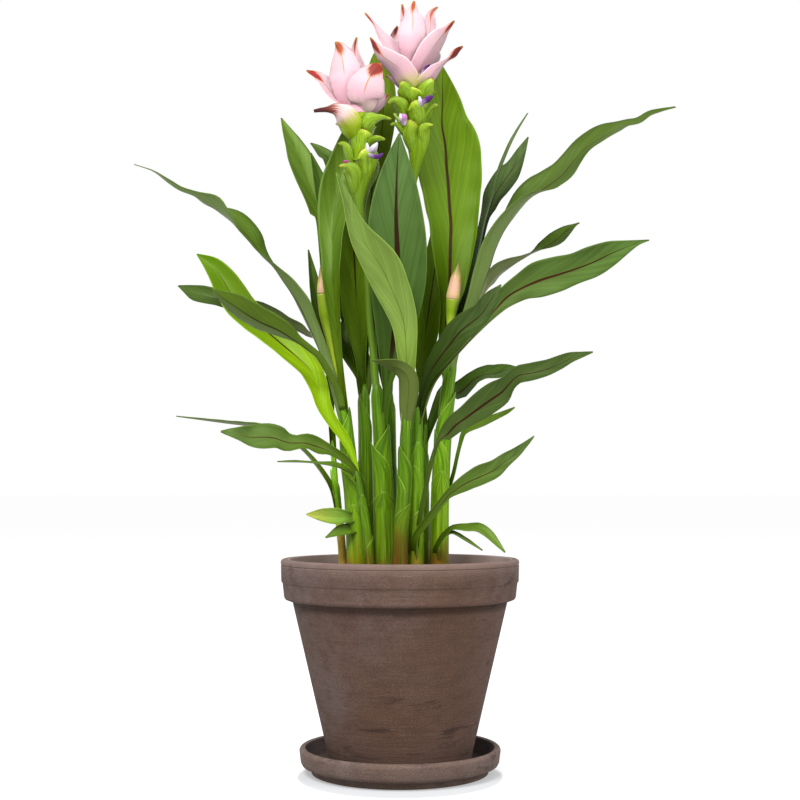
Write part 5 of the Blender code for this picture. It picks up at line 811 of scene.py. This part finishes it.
def pink_paint(name, rust_from, rust, root=(238, 178, 192)):
    """A pale pink bract: deeper root, rusty streaked tip with a golden edge, a fine golden midline."""
    paint = Paint(name, 0.5, 0.15)
    along, aside = paint.attribute("along"), paint.math("ABSOLUTE", paint.attribute("across"))
    lines = paint.lines(1.5, 22, 4, 0.6)
    paint.base(paint.drift(along, paint.lines(3, 3, 3), 0.3), (0.1, root), (0.32, (232, 184, 196)),
               (0.6, (224, 189, 196)), (1.0, (224, 184, 191)))
    paint.coat(paint.smooth(lines, 0.45, 0.7, 0.0, 0.5), (226, 178, 190))
    paint.coat(paint.smooth(aside, 0.86, 0.97, 0.0, 0.45), (248, 230, 234))
    middle = paint.smooth(aside, 0.015, 0.055, 0.85, 0.0)
    middle = paint.times(middle, paint.smooth(along, rust_from - 0.36, rust_from - 0.14))
    paint.coat(middle, (190, 132, 66))
    spread = paint.math("SUBTRACT", paint.drift(along, lines, 0.24), paint.times(aside, 0.24))
    paint.coat(paint.smooth(spread, rust_from - 0.05, rust_from, 0.0, 0.6), (226, 150, 110))
    paint.coat(paint.smooth(spread, rust_from, rust_from + 0.04, 0.0, 0.97), rust)
    dark = paint.smooth(spread, rust_from + 0.03, rust_from + 0.1)
    paint.coat(paint.times(dark, paint.smooth(lines, 0.42, 0.56, 0.0, 0.8)), (116, 34, 20))
    edge = paint.smooth(along, rust_from + 0.08, rust_from + 0.16)
    edge = paint.times(paint.smooth(aside, 0.88, 0.97), edge)
    gold = paint.math("MAXIMUM", paint.smooth(along, 0.94, 0.99), edge)
    paint.coat(paint.times(gold, 0.85), (172, 118, 50))
    return paint.done(lines, 0.35, 0.6)


def apron_paint(name):
    """The lowest coloured bract: green root, pink middle, brown tip."""
    paint = Paint(name, 0.35, 0.3)
    lines = paint.lines(2, 12, 4, 0.6)
    paint.base(paint.drift(paint.attribute("along"), lines, 0.55), (0.05, (146, 182, 14)),
               (0.3, (178, 206, 28)), (0.4, (214, 200, 110)), (0.48, (238, 210, 208)),
               (0.6, (230, 188, 184)), (0.67, (150, 70, 50)), (0.82, (88, 34, 22)))
    return paint.done(lines, 0.4, 0.6)


def bud_paint(name):
    """The bud's pale tip: cream with a pink blush, browner at its point."""
    paint = Paint(name, 0.45)
    along = paint.attribute("along")
    lines = paint.lines(2, 8, 3)
    paint.base(paint.drift(along, lines, 0.5), (0.0, (190, 186, 70)), (0.28, (214, 190, 116)),
               (0.5, (188, 160, 88)), (0.75, (142, 134, 56)), (0.95, (112, 104, 38)))
    blush = paint.smooth(paint.lines(1.2, 2.5, 2), 0.44, 0.54, 0.0, 0.85)
    paint.coat(paint.times(blush, paint.smooth(along, 0.8, 0.4)), (220, 172, 150))
    return paint.done(lines, 0.3, 0.4)


def floret_paint(name, lip, throat):
    """A small flower: a pale throat and a darker lip."""
    paint = Paint(name, 0.4)
    reach = paint.math("ADD", paint.attribute("along"), paint.times(paint.lines(3, 8, 2), 0.4))
    paint.base(reach, (0.35, throat), (0.8, lip), (1.1, lip))
    return paint.done()


def clay_paint(name, gain, grey=0.0):
    """Unglazed mocha clay: turning lines, greyer and browner clouds, dark smears, pale scratches, grit; a
    paler foot, painted shadow under the collar and painted light on the rim and inner wall of the pot,
    and painted shade inside the saucer.
    """
    paint = Paint(name, 0.85, 0.1, None, gain, grey)
    cloud = paint.noise(paint.place((1, 1, 0.7), (0, 0.4, 0.3)), 9, 4, 0.55)
    mottle = paint.noise(paint.place((1, 1, 1.6)), 60, 5, 0.65)
    grit = paint.noise(paint.place(), 1100, 3)
    rings = paint.noise(paint.place((0.05, 0.05, 1)), 520, 4, 0.6)
    scratch = paint.noise(paint.place((0.16, 0.16, 3)), 150, 2)
    smear = paint.noise(paint.place((0.35, 1, 2.6), (0, -0.62, 0)), 34, 5, 0.7)
    where = paint.noise(paint.place(), 7, 1)
    paint.base(cloud, (0.35, (112, 97, 93)), (0.5, (107, 86, 77)), (0.65, (101, 77, 65)))
    paint.coat(paint.smooth(mottle, 0.42, 0.66, 0.0, 0.55), (90, 70, 62))
    paint.coat(paint.smooth(rings, 0.45, 0.75, 0.0, 0.22), (82, 64, 56))
    paint.coat(paint.smooth(rings, 0.42, 0.3, 0.0, 0.16), (130, 110, 100))
    dark = paint.times(paint.smooth(smear, 0.55, 0.66, 0.0, 0.75), paint.smooth(where, 0.43, 0.52))
    paint.coat(dark, (62, 50, 48))
    paint.coat(paint.smooth(scratch, 0.7, 0.76, 0.0, 0.35), (152, 132, 122))
    paint.coat(paint.smooth(grit, 0.45, 0.66, 0.0, 0.5), (76, 60, 54))
    paint.coat(paint.smooth(grit, 0.42, 0.3, 0.0, 0.35), (134, 114, 104))
    up = paint.node("SeparateXYZ", paint.place()).outputs[2]
    reach = paint.distance((1, 1, 0))
    if name == "clay_fine":
        # Lighter towards the foot.
        paint.coat(paint.smooth(up, *POT_FOOT_PALER, 0.0, 0.25), (150, 124, 112))
        shadow = paint.times(paint.smooth(up, *COLLAR_SHADOW_FOOT), paint.smooth(up, *COLLAR_SHADOW_TOP))
        paint.coat(paint.times(shadow, 0.6), (48, 38, 32))
        # Painted light on the top of the rim.
        paint.coat(paint.smooth(up, *RIM_PAINTED_LIGHT, 0.0, 0.24), (172, 150, 142))
        # Painted light on the pot's inner wall near the rim.
        inside = paint.times(paint.smooth(reach, *INNER_WALL_PAINTED_LIGHT), paint.smooth(up, *INNER_WALL_LIGHT_FOOT))
        paint.coat(paint.times(inside, 0.35), (210, 188, 178))
    else:
        # Painted shade inside the saucer.
        inside = paint.times(paint.smooth(reach, *SAUCER_PAINTED_SHADE), paint.smooth(up, *SAUCER_SHADE_FOOT))
        paint.coat(paint.times(inside, 0.62), (46, 35, 30))
    return paint.done(paint.math("ADD", paint.times(grit, 0.4), rings), 0.4, 0.6)


def soil_paint(name):
    """Dark crumbly soil with paler fibres and grains."""
    paint = Paint(name, 0.95)
    coarse = paint.noise(paint.place(), 260, 4, 0.7)
    grains = paint.noise(paint.place(), 900, 2)
    paint.base(coarse, (0.3, (34, 26, 20)), (0.55, (62, 46, 34)), (0.75, (96, 74, 52)))
    paint.coat(paint.smooth(grains, 0.68, 0.76, 0.0, 0.7), (150, 128, 100))
    return paint.done(coarse, 1.5, 0.8)


def floor_paint(name):
    """A plain white floor that glows a little, with a painted contact shadow: a greyer, dimmer disc under
    the saucer.
    """
    paint = Paint(name, 0.9, 0.0)
    reach = paint.distance(centre=(0, CONTACT_DEPTH * MM, 0))
    # Painted contact shadow: a dimmer, greyer disc under the saucer.
    out = paint.smooth(reach, CONTACT_INSIDE * MM, CONTACT_OUTSIDE * MM)
    glow = paint.mix(out, CONTACT_SHADOW_GLOW, (1, 1, 1, 1))
    paint.feed(paint.shader, Emission_Color=glow, Emission_Strength=FLOOR_GLOW)
    paint.now = paint.mix(out, CONTACT_SHADOW_COLOUR, FLOOR_COLOUR)
    return paint.done()


# Stems by how far up they are brown, how bright they are, and their browns.
STEMS = {
    "stem": (0.08, 1.04),
    "bright_stem": (0.13, 1.24),
    "brown_stem": (0.3, 1.0, (110, 84, 26)),
    # The husk stem stands in the shade of the stems before it; its high gain and pale root are painted
    # light.
    "husk_stem": (0.42, 1.7, (160, 124, 56), (160, 116, 56)),
}

# Scapes and bud scales by their tones at the root, in the middle and at the top.
SCAPES = {
    "scape_fine": ((104, 138, 48), (112, 146, 50), (146, 178, 30)),
    "scales_fine": ((184, 206, 60), (164, 190, 58), (150, 172, 60)),
}

# Pink bracts by where the rust starts, the rust and, where it isn't the usual pink, the root.
PINKS = {
    "pink_bract_fine": (0.78, (178, 84, 48)),
    "rusty_bract": (0.66, (150, 46, 24), (252, 226, 214)),
    "orange_bract": (0.74, (176, 86, 40)),
    "golden_bract": (0.78, (182, 88, 40)),
    "streaked_bract": (0.64, (176, 50, 50)),
    "tipped_bract": (0.74, (170, 58, 46)),
    "faint_bract": (0.76, (206, 112, 94)),
    "brown_bract": (0.62, (134, 52, 34), (206, 204, 110)),
    "keeled_bract": (0.7, (158, 62, 48), (204, 204, 100)),
    "thin_bract": (0.82, (150, 90, 60), (232, 190, 160)),
}

# Small flowers by the tones of their lip and throat.
FLORET_TONES = {
    "floret_violet": ((92, 44, 116), (206, 180, 214)),
    "floret_white": ((232, 226, 234), (176, 150, 184)),
    "floret_lilac": ((206, 140, 196), (240, 222, 236)),
    "floret_magenta": ((176, 70, 140), (214, 130, 180)),
}


def make_paints():
    """Every plant paint by its finish."""
    paints = {name: leaf_paint("leaf_" + name, green) for name, green in GREENS.items()}
    for make, table in ((stem_paint, STEMS), (scape_paint, SCAPES), (pink_paint, PINKS),
                        (floret_paint, FLORET_TONES)):
        paints.update({name: make(name, *looks) for name, looks in table.items()})
    for make, name in ((pouch_paint, "green_bract_fine"), (apron_paint, "apron_bract"),
                       (bud_paint, "bud_tip_fine")):
        paints[name] = make(name)
    return paints


def from_drawing(x, z, depth):
    """The drawn point, moved along its line of sight to its depth, in metres."""
    reach = (EYE_DISTANCE + depth) / EYE_DISTANCE
    return Vector((x * reach, depth, EYE_HEIGHT + (z - EYE_HEIGHT) * reach)) * MM


def smooth_run(points, count):
    """Stations evenly spaced along one smooth curve through the points, and the curve's length.

    Columns 0 to 2 are the place.
    """
    points = np.array(points, float)
    ends = np.vstack([2 * points[0] - points[1], points, 2 * points[-1] - points[-2]])
    dense = []
    for i in range(1, len(ends) - 2):
        before, a, b, after = ends[i - 1 : i + 3]
        for t in np.linspace(0, 1, CURVE_STEPS, endpoint=False):
            dense.append(0.5 * (2 * a + (b - before) * t + (2 * before - 5 * a + 4 * b - after) * t**2
                                + (3 * a - before - 3 * b + after) * t**3))
    dense = np.array([*dense, points[-1]])
    steps = np.linalg.norm(np.diff(dense[:, :3], axis=0), axis=1)
    along = np.concatenate([[0], np.cumsum(steps)])
    wanted = np.linspace(0, along[-1], count)
    return np.column_stack([np.interp(wanted, along, column) for column in dense.T]), along[-1]


def directions(run):
    """The unit direction of travel at each station."""
    ahead = np.gradient(run[:, :3], axis=0)
    return ahead / np.linalg.norm(ahead, axis=1)[:, None]


def section(u, half_width, curl, fold):
    """A point of a curled and folded blade: its angle, how far out and how far up it lies."""
    angle = max(curl, LEAST_CURL) * u
    reach = half_width / max(curl, LEAST_CURL)
    rise = fold * half_width * (math.hypot(u, FOLD_SOFTNESS) - FOLD_SOFTNESS)
    return angle, reach * math.sin(angle), reach * (1 - math.cos(angle)) + rise


def edges(side, up, half_width, curl, fold):
    """Where the left and right edges lie from the middle of the blade."""
    found = []
    for u in (-1, 1):
        _, out, rise = section(u, half_width, curl, fold)
        found.append(side * out + up * rise)
    return found


def leaf_stations(leaf, is_bract):
    """The stations of a drawn leaf or bract, from its root to its tip, as in the solids but closer."""
    drawn = [[*from_drawing(x, z, depth), roll, half * MM] for x, z, depth, roll, half in leaf.route]
    spacing = (BRACT_SPACING if is_bract else LEAF_SPACING) * MM
    count = max(LEAST_STATIONS, round(smooth_run(drawn, 2)[1] / spacing) + 1)
    run, length = smooth_run(drawn, count)
    seen = np.maximum(run[:, 4], TIP_HALF_WIDTH * MM)
    opening = np.clip((np.maximum.accumulate(seen) / seen.max() - OPENS_FROM) / OPENS_OVER, 0, 1)
    stations = []
    for i, (place, along) in enumerate(zip(run, directions(run))):
        middle, along = Vector(place[:3]), Vector(along)
        to_eye = Vector((0, -EYE_DISTANCE, EYE_HEIGHT)) * MM - middle
        facing = (to_eye - along * to_eye.dot(along)).normalized()
        across = along.cross(facing)
        roll = math.radians(place[3])
        up = facing * math.cos(roll) + across * math.sin(roll)
        side = along.cross(up)
        curl = leaf.curl if is_bract else ROLLED_CURL - (ROLLED_CURL - leaf.curl) * opening[i]
        fold = leaf.fold * opening[i]
        left, right = edges(side, up, seen[i], curl, fold)
        shown = abs((right - left).dot(across)) / (2 * seen[i])
        half_width = seen[i] / max(shown, LEAST_SHOWN)
        left, right = edges(side, up, half_width, curl, fold)
        middle = middle - across * ((left + right).dot(across) / 2)
        stations.append((middle, side, up, half_width, curl, fold, opening[i]))
    return stations, length


def put(name, data):
    """A new object in the scene."""
    thing = bpy.data.objects.new(name, data)
    bpy.context.scene.collection.objects.link(thing)
    return thing


def add_piece(mesh, material, node, slot):
    """Puts a mesh in the scene as a piece that rides on the plant and stands for a CAD node."""
    mesh.materials.append(material)
    piece = put(mesh.name, mesh)
    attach(piece, "root")
    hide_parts(node)


def smooth_mesh(name, vertices, faces):
    """A mesh that is shaded smoothly."""
    mesh = bpy.data.meshes.new(name)
    mesh.from_pydata(vertices, [], faces)
    mesh.shade_smooth()
    return mesh


def plant_piece(name, vertices, faces, values, seed, *looks):
    """A piece of the plant that keeps a row of (along, across, vein, under) at each vertex."""
    mesh = smooth_mesh(name, vertices, faces)
    columns = np.column_stack([np.array(values, np.float32), np.full(len(values), seed)])
    for label, column in zip(("along", "across", "vein", "under", "seed"), columns.T):
        layer = mesh.attributes.new(label, "FLOAT", "POINT")
        layer.data.foreach_set("value", np.array(column, np.float32))
    add_piece(mesh, *looks)


def shell_faces(count, across):
    """The faces of a closed sheet: count stations, each an upper and then a lower row of vertices."""
    row = 2 * (across + 1)
    faces = []
    for i in range(count - 1):
        a, b = i * row, (i + 1) * row
        for j in range(across):
            faces.append((a + j, a + j + 1, b + j + 1, b + j))
            c, d = a + across + 1 + j, b + across + 1 + j
            faces.append((c + 1, c, d, d + 1))
        faces.append((a, b, b + across + 1, a + across + 1))
        faces.append((a + across, a + row - 1, b + row - 1, b + across))
    for start, step in ((0, 1), ((count - 1) * row, -1)):
        upper = [start + j for j in range(across + 1)]
        lower = [start + across + 1 + j for j in range(across + 1)]
        faces.append((lower + upper[::-1])[::step])
    return faces


def blade(leaf, name, paints, node, slot, seed):
    """A thin closed blade on the leaf's stations, with a keel under its midrib and a groove above it."""
    is_bract = slot != "leaf"
    stations, length = leaf_stations(leaf, is_bract)
    rib = RIB_THICKNESS * (BRACT_RIB_SHARE if is_bract else 1.0)
    slant = math.tan(math.radians(VEIN_SLANT))
    vertices, values = [], []
    for i, (middle, side, up, half_width, curl, fold, opening) in enumerate(stations):
        share = i / (len(stations) - 1)
        turn = 2 * math.pi * (RIPPLE_TURNS * share + seed)
        for face in (0, 1):
            for u in np.linspace(-1, 1, BLADE_ACROSS + 1):
                angle, out, rise = section(u, half_width, curl, fold)
                wave_lag, ripple_lag = RIGHT_LAGS if u > 0 else (0.0, 0.0)
                ripple = leaf.wave * u * u * math.sin(2 * turn + wave_lag)
                ripple += RIPPLE * half_width / MM * abs(u) ** 3 * math.sin(5 * turn + ripple_lag)
                offset = side * out + up * (rise + ripple * MM * opening)
                slope = angle + math.atan(fold * u / math.hypot(u, FOLD_SOFTNESS))
                normal = up * math.cos(slope) - side * math.sin(slope)
                keel = math.exp(-((u / RIB_REACH) ** 2)) * (1 - RIB_FADE * share)
                if face:
                    offset -= normal * (EDGE_THICKNESS + (rib - EDGE_THICKNESS) * keel) * MM
                else:
                    offset -= normal * (RIB_GROOVE * keel * opening * MM)
                vertices.append(middle + offset)
                values.append((share, u, abs(u) * half_width - share * length * slant, face))
    faces = shell_faces(len(stations), BLADE_ACROSS)
    plant_piece(name, vertices, faces, values, seed * 10, paints[leaf.finish], node, slot)


def grid_faces(rows, sides, first=0):
    """Faces between closed rings of vertices, as (row, side) numbers, from a first row on."""
    faces = []
    for i in range(first, rows):
        for j in range(sides):
            k = (j + 1) % sides
            faces.append((i * sides + j, i * sides + k, (i + 1) * sides + k, (i + 1) * sides + j))
    return faces


def tube(name, run, radii, seed, *looks):
    """A closed round tube along a run of stations, in metres."""
    vertices, values = [], []
    last = len(run) - 1
    for i, (place, along, radius) in enumerate(zip(run[:, :3], directions(run), radii)):
        side = Vector(np.cross(along, (0, 1, 0))).normalized()
        front = side.cross(Vector(along))
        for j in range(TUBE_SIDES):
            angle = 2 * math.pi * j / TUBE_SIDES
            vertices.append(Vector(place) + (side * math.cos(angle) + front * math.sin(angle)) * radius)
            values.append((i / last, abs(1 - 2 * j / TUBE_SIDES), 0, 0))
    ring = range(TUBE_SIDES)
    ends = [list(ring)[::-1], [last * TUBE_SIDES + j for j in ring]]
    plant_piece(name, vertices, grid_faces(last, TUBE_SIDES) + ends, values, seed, *looks)


def sheath(name, run, radii, turn, stop, seed, *looks):
    """A thin wrap round a stem, open along one side, with a pointed mouth at its top."""
    ahead = directions(run)
    shares = np.linspace(0, 1, len(run))
    vertices, values = [], []
    for share in np.linspace(0, 1, SHEATH_STATIONS):
        where = share * stop
        place = Vector([np.interp(where, shares, run[:, k]) for k in range(3)])
        along = Vector([np.interp(where, shares, ahead[:, k]) for k in range(3)])
        side = along.cross(Vector((0, 1, 0))).normalized()
        front = side.cross(along)
        radius = np.interp(where, shares, radii) * (SHEATH_GROWTH + SHEATH_FOOT_GROWTH * (1 - share))
        radius += (SHEATH_GAP + SHEATH_FLARE * share**6) * MM
        closing = min(1.0, (1 - share) / MOUTH_SHARE)
        wrap = math.sin(math.pi / 2 * closing) ** MOUTH_CURVE
        half_angle = math.radians(POINT_ANGLE + WRAP_ANGLE * wrap)
        for face in (0, 1):
            for u in np.linspace(-1, 1, SHEATH_ACROSS + 1):
                angle = turn + u * half_angle
                out = side * math.sin(angle) - front * math.cos(angle)
                vertices.append(place + out * (radius - face * EDGE_THICKNESS * MM))
                values.append((where, u, 0, face))
    plant_piece(name, vertices, shell_faces(SHEATH_STATIONS, SHEATH_ACROSS), values, seed, *looks)


def grow_shoot(name, shoot, paints, order):
    """One leafy shoot: its stem of rolled sheaths and its leaves."""
    run, _ = smooth_run([[*from_drawing(*point)] for point in shoot.stem], STEM_STATIONS)
    shares = np.linspace(0, 1, STEM_STATIONS)
    radii = (shoot.foot_radius + (shoot.top_radius - shoot.foot_radius) * shares) * MM
    radii[-len(STEM_TAPER):] *= np.array(STEM_TAPER)
    looks = paints[shoot.finish], name, "leaf"
    tube(name + "_stem", run, radii, order * STEM_SEED, *looks)
    for i, (turn, stop) in enumerate(SHEATHS):
        turn = math.radians(turn + SHEATH_TURN_SPREAD * math.sin(TURN_STEP * order + i))
        stop *= SHEATH_END_MEAN + SHEATH_END_SPREAD * math.sin(END_STEP * order + 2 * i)
        sheath(f"{name}_sheath_{i}", run, radii, turn, stop, order * STEM_SEED + i, *looks)
    for i, leaf in enumerate(shoot.leaves):
        blade(leaf, leaf.name, paints, name, "leaf", BLADE_SEED * i + SHOOT_SEED * order)


def grow_bloom(name, bloom, paints, order):
    """A flower head: scape, green core and bracts, pink core and bracts, and its small flowers."""
    for part, core, bracts, finish in (("green", bloom.axis, bloom.green, "scape_fine"),
                                       ("pink", bloom.pink_core, bloom.pink, "pink_bract_fine")):
        node, slot = f"{name}_{part}", part + "_bract"
        drawn = [[*from_drawing(x, z, depth), radius * MM] for x, z, depth, radius in core]
        run, _ = smooth_run(drawn, CORE_STATIONS)
        tube(node + "_core", run, run[:, 3], order, paints[finish], node, slot)
        for i, bract in enumerate(bracts):
            seed = BLADE_SEED * i + BLOOM_SEED * order
            blade(bract, f"{node}_{bract.name}", paints, node, slot, seed)
        for i, flower in enumerate(FLORETS.get(node, [])):
            blade(flower, f"{node}_floret_{flower.name}", paints, node, slot, BLADE_SEED * i + FLORET_SEED)


def grow_bud(name, bud, paints, order):
    """A closed bud on its scape: the green lower scales and the pale tip."""
    run, _ = smooth_run([[*from_drawing(*point)] for point in bud.axis], BUD_STEPS + 1)
    widths = [SCAPE_RADIUS, SCAPE_RADIUS, *[share * bud.half_width for share in BUD_SWELL], BUD_TIP]
    swell = np.interp(np.linspace(0, 1, BUD_STEPS + 1), BUD_SHARES, widths) * MM
    parted = round(bud.green_share * BUD_STEPS)
    tube(name + "_scales", run[: parted + 1], swell[: parted + 1], order, paints["scales_fine"],
         name + "_green", "green_bract")
    tube(name + "_point", run[parted:], swell[parted:], order, paints["bud_tip_fine"],
         name + "_tip", "bud_tip")


def turned(name, profile, *looks):
    """A finely turned solid from (radius, height) points in millimetres, as a piece."""
    mesh = bmesh.new()
    loop = [mesh.verts.new((r * MM, 0, h * MM)) for r, h in profile]
    lines = [mesh.edges.new((a, b)) for a, b in zip(loop, loop[1:] + loop[:1])]
    if profile[0][0] == 0:
        mesh.edges.remove(lines.pop())
    bmesh.ops.spin(mesh, geom=loop + lines, cent=(0, 0, 0), axis=(0, 0, 1), angle=2 * math.pi,
                   steps=TURNED_SIDES, use_merge=True)
    bmesh.ops.remove_doubles(mesh, verts=mesh.verts, dist=MERGED * MM)
    bmesh.ops.recalc_face_normals(mesh, faces=mesh.faces)
    data = bpy.data.meshes.new(name)
    mesh.to_mesh(data)
    mesh.free()
    data.shade_smooth()
    data.set_sharp_from_angle(angle=math.radians(SHARP_EDGE))
    add_piece(data, *looks)


def offsets(radius, height, *points):
    """Profile points, given as steps out and up from one corner of the form."""
    return [(radius + out, height + up) for out, up in points]


def make_pot(material):
    """The clay pot: a tapered wall, a thick collar with two fine grooves, a floor with a drain hole."""
    def inner(height):
        share = (height - POT_BOTTOM) / (COLLAR_BOTTOM - POT_BOTTOM)
        return POT_FOOT_RADIUS - WALL + share * (BODY_TOP_RADIUS - POT_FOOT_RADIUS)
    low = POT_BOTTOM + POT_FLOOR
    turned("fine_pot", [
        (DRAIN_RADIUS, POT_BOTTOM),
        *offsets(POT_FOOT_RADIUS, POT_BOTTOM, (-1.5, 0), (-0.4, 0.5), (0, 1.5)),
        *offsets(BODY_TOP_RADIUS, COLLAR_BOTTOM, (-0.3, -1.2), (0.6, 0)),
        *offsets(COLLAR_BOTTOM_RADIUS, COLLAR_BOTTOM, (-2.6, 0.1), (-1, 0.8), (-0.2, 2), (0.1, 3.5),
                 (1.3, 14.6), (1.5, 15)),
        *offsets(RIM_RADIUS, COLLAR_BOTTOM, (-1.0, 15.5), (-0.5, 16.2)),
        *offsets(RIM_RADIUS, RIM_TOP, (-0.1, -5.6), (-0.7, -5.0), (-0.1, -4.4), (0, -2.4), (-0.5, -1.0),
                 (-1.8, -0.1), (-3.0, 0), (2.2 - WALL, 0), (0.6 - WALL, -0.5), (-WALL, -1.8)),
        (inner(COLLAR_BOTTOM) + 2, COLLAR_BOTTOM - 4), (inner(low + 5), low + 5),
        (inner(low) - 5, low), (DRAIN_RADIUS, low),
    ], material, "pot", "clay")


def make_saucer(material):
    """The clay saucer: a flat foot, a wall that flares to a rounded rim, and a flat floor."""
    turned("fine_saucer", [
        (0, 0), *offsets(SAUCER_FOOT_RADIUS, 0, (-1, 0), (-0.2, 0.3), (0, 1)),
        *offsets(SAUCER_FOOT_RADIUS, SAUCER_FOOT_HEIGHT, (0, -0.8), (1.2, 0)),
        *offsets(SAUCER_RADIUS, SAUCER_FOOT_HEIGHT, (-4.5, 0.6), (-2.4, 1.6), (-1.2, 4)),
        *offsets(SAUCER_RADIUS, SAUCER_TOP, (-0.1, -4), (0, -2.6), (-0.6, -1.1), (-1.8, -0.2), (-3.2, 0),
                 (-5, -0.5), (-SAUCER_WALL, -2)),
        *offsets(SAUCER_RADIUS - SAUCER_WALL, SAUCER_FLOOR, (-3, 3), (-7, 0)),
        (0, SAUCER_FLOOR),
    ], material, "saucer", "clay")


def make_soil(material):
    """The soil's crumbly top, from the pot's wall to the heap round the stems."""
    edge = RIM_RADIUS - WALL - SOIL_GAP
    vertices = []
    for i in range(SOIL_RINGS + 1):
        radius = edge * i / SOIL_RINGS
        mound = SOIL_EDGE_TOP + (SOIL_MIDDLE_TOP - SOIL_EDGE_TOP) * (1 - (radius / edge) ** SOIL_FLATNESS)
        for j in range(SOIL_SPOKES):
            angle = 2 * math.pi * j / SOIL_SPOKES
            x, y = radius * math.cos(angle), radius * math.sin(angle)
            crumbs = sum(size * noise.noise(Vector((x, y, z)) * scale) for size, z, scale in CRUMBS)
            vertices.append(Vector((x, y, mound - SOIL_SUNK + crumbs)) * MM)
    rim = SOIL_RINGS * SOIL_SPOKES
    low = (SOIL_EDGE_TOP - SOIL_DEPTH) * MM
    vertices += [Vector((vertex.x, vertex.y, low)) for vertex in vertices[rim:]]
    faces = [(0, SOIL_SPOKES + j, SOIL_SPOKES + (j + 1) % SOIL_SPOKES) for j in range(SOIL_SPOKES)]
    faces += [(a, d, c, b) for a, b, c, d in grid_faces(SOIL_RINGS + 1, SOIL_SPOKES, 1)]
    faces.append([rim + SOIL_SPOKES + j for j in range(SOIL_SPOKES)][::-1])
    add_piece(smooth_mesh("fine_soil", vertices, faces), material, "soil", "soil")


def make_stage():
    """Floor, soft studio lights, white surroundings and the camera."""
    bpy.ops.mesh.primitive_circle_add(vertices=FLOOR_SIDES, radius=FLOOR_RADIUS * MM, fill_type="NGON",
                                      location=(0, 0, -FLOOR_DROP * MM))
    floor = bpy.context.object
    floor.name = "floor"
    floor.data.materials.append(floor_paint("floor"))
    scene = bpy.context.scene
    scene.world = bpy.data.worlds.new("studio")
    scene.world.use_nodes = True
    background = scene.world.node_tree.nodes["Background"]
    background.inputs["Color"].default_value = (1, 1, 1, 1)
    background.inputs["Strength"].default_value = 1.0
    for name, (place, size, power) in LIGHTS.items():
        light = bpy.data.lights.new(name, "AREA")
        light.size = size
        light.energy = power
        lamp = put(name, light)
        lamp.location = place
        aim = Vector((0, 0, AIM_HEIGHT)) - Vector(place)
        lamp.rotation_euler = aim.to_track_quat("-Z", "Y").to_euler()
    camera = put("camera", bpy.data.cameras.new("camera"))
    camera.data.sensor_width = SENSOR
    camera.data.lens = EYE_LENS
    camera.location = (0, -EYE_DISTANCE * MM, CAMERA_HEIGHT * MM)
    camera.rotation_euler = (math.radians(90 + EYE_TILT), 0, 0)
    scene.camera = camera
    scene.view_settings.view_transform = "Standard"


def main():
    make_pot(clay_paint("clay_fine", 1.06))
    # The saucer's clay is made brighter than the pot's: painted light from above and from the white floor.
    make_saucer(clay_paint("saucer_clay_painted_light", 1.24, 0.3))
    make_soil(soil_paint("soil_fine"))
    paints = make_paints()
    for grow, table in ((grow_shoot, SHOOTS), (grow_bloom, BLOOMS), (grow_bud, BUDS)):
        for order, (name, drawn) in enumerate(table.items()):
            grow(name, drawn, paints, order)
    make_stage()


main()
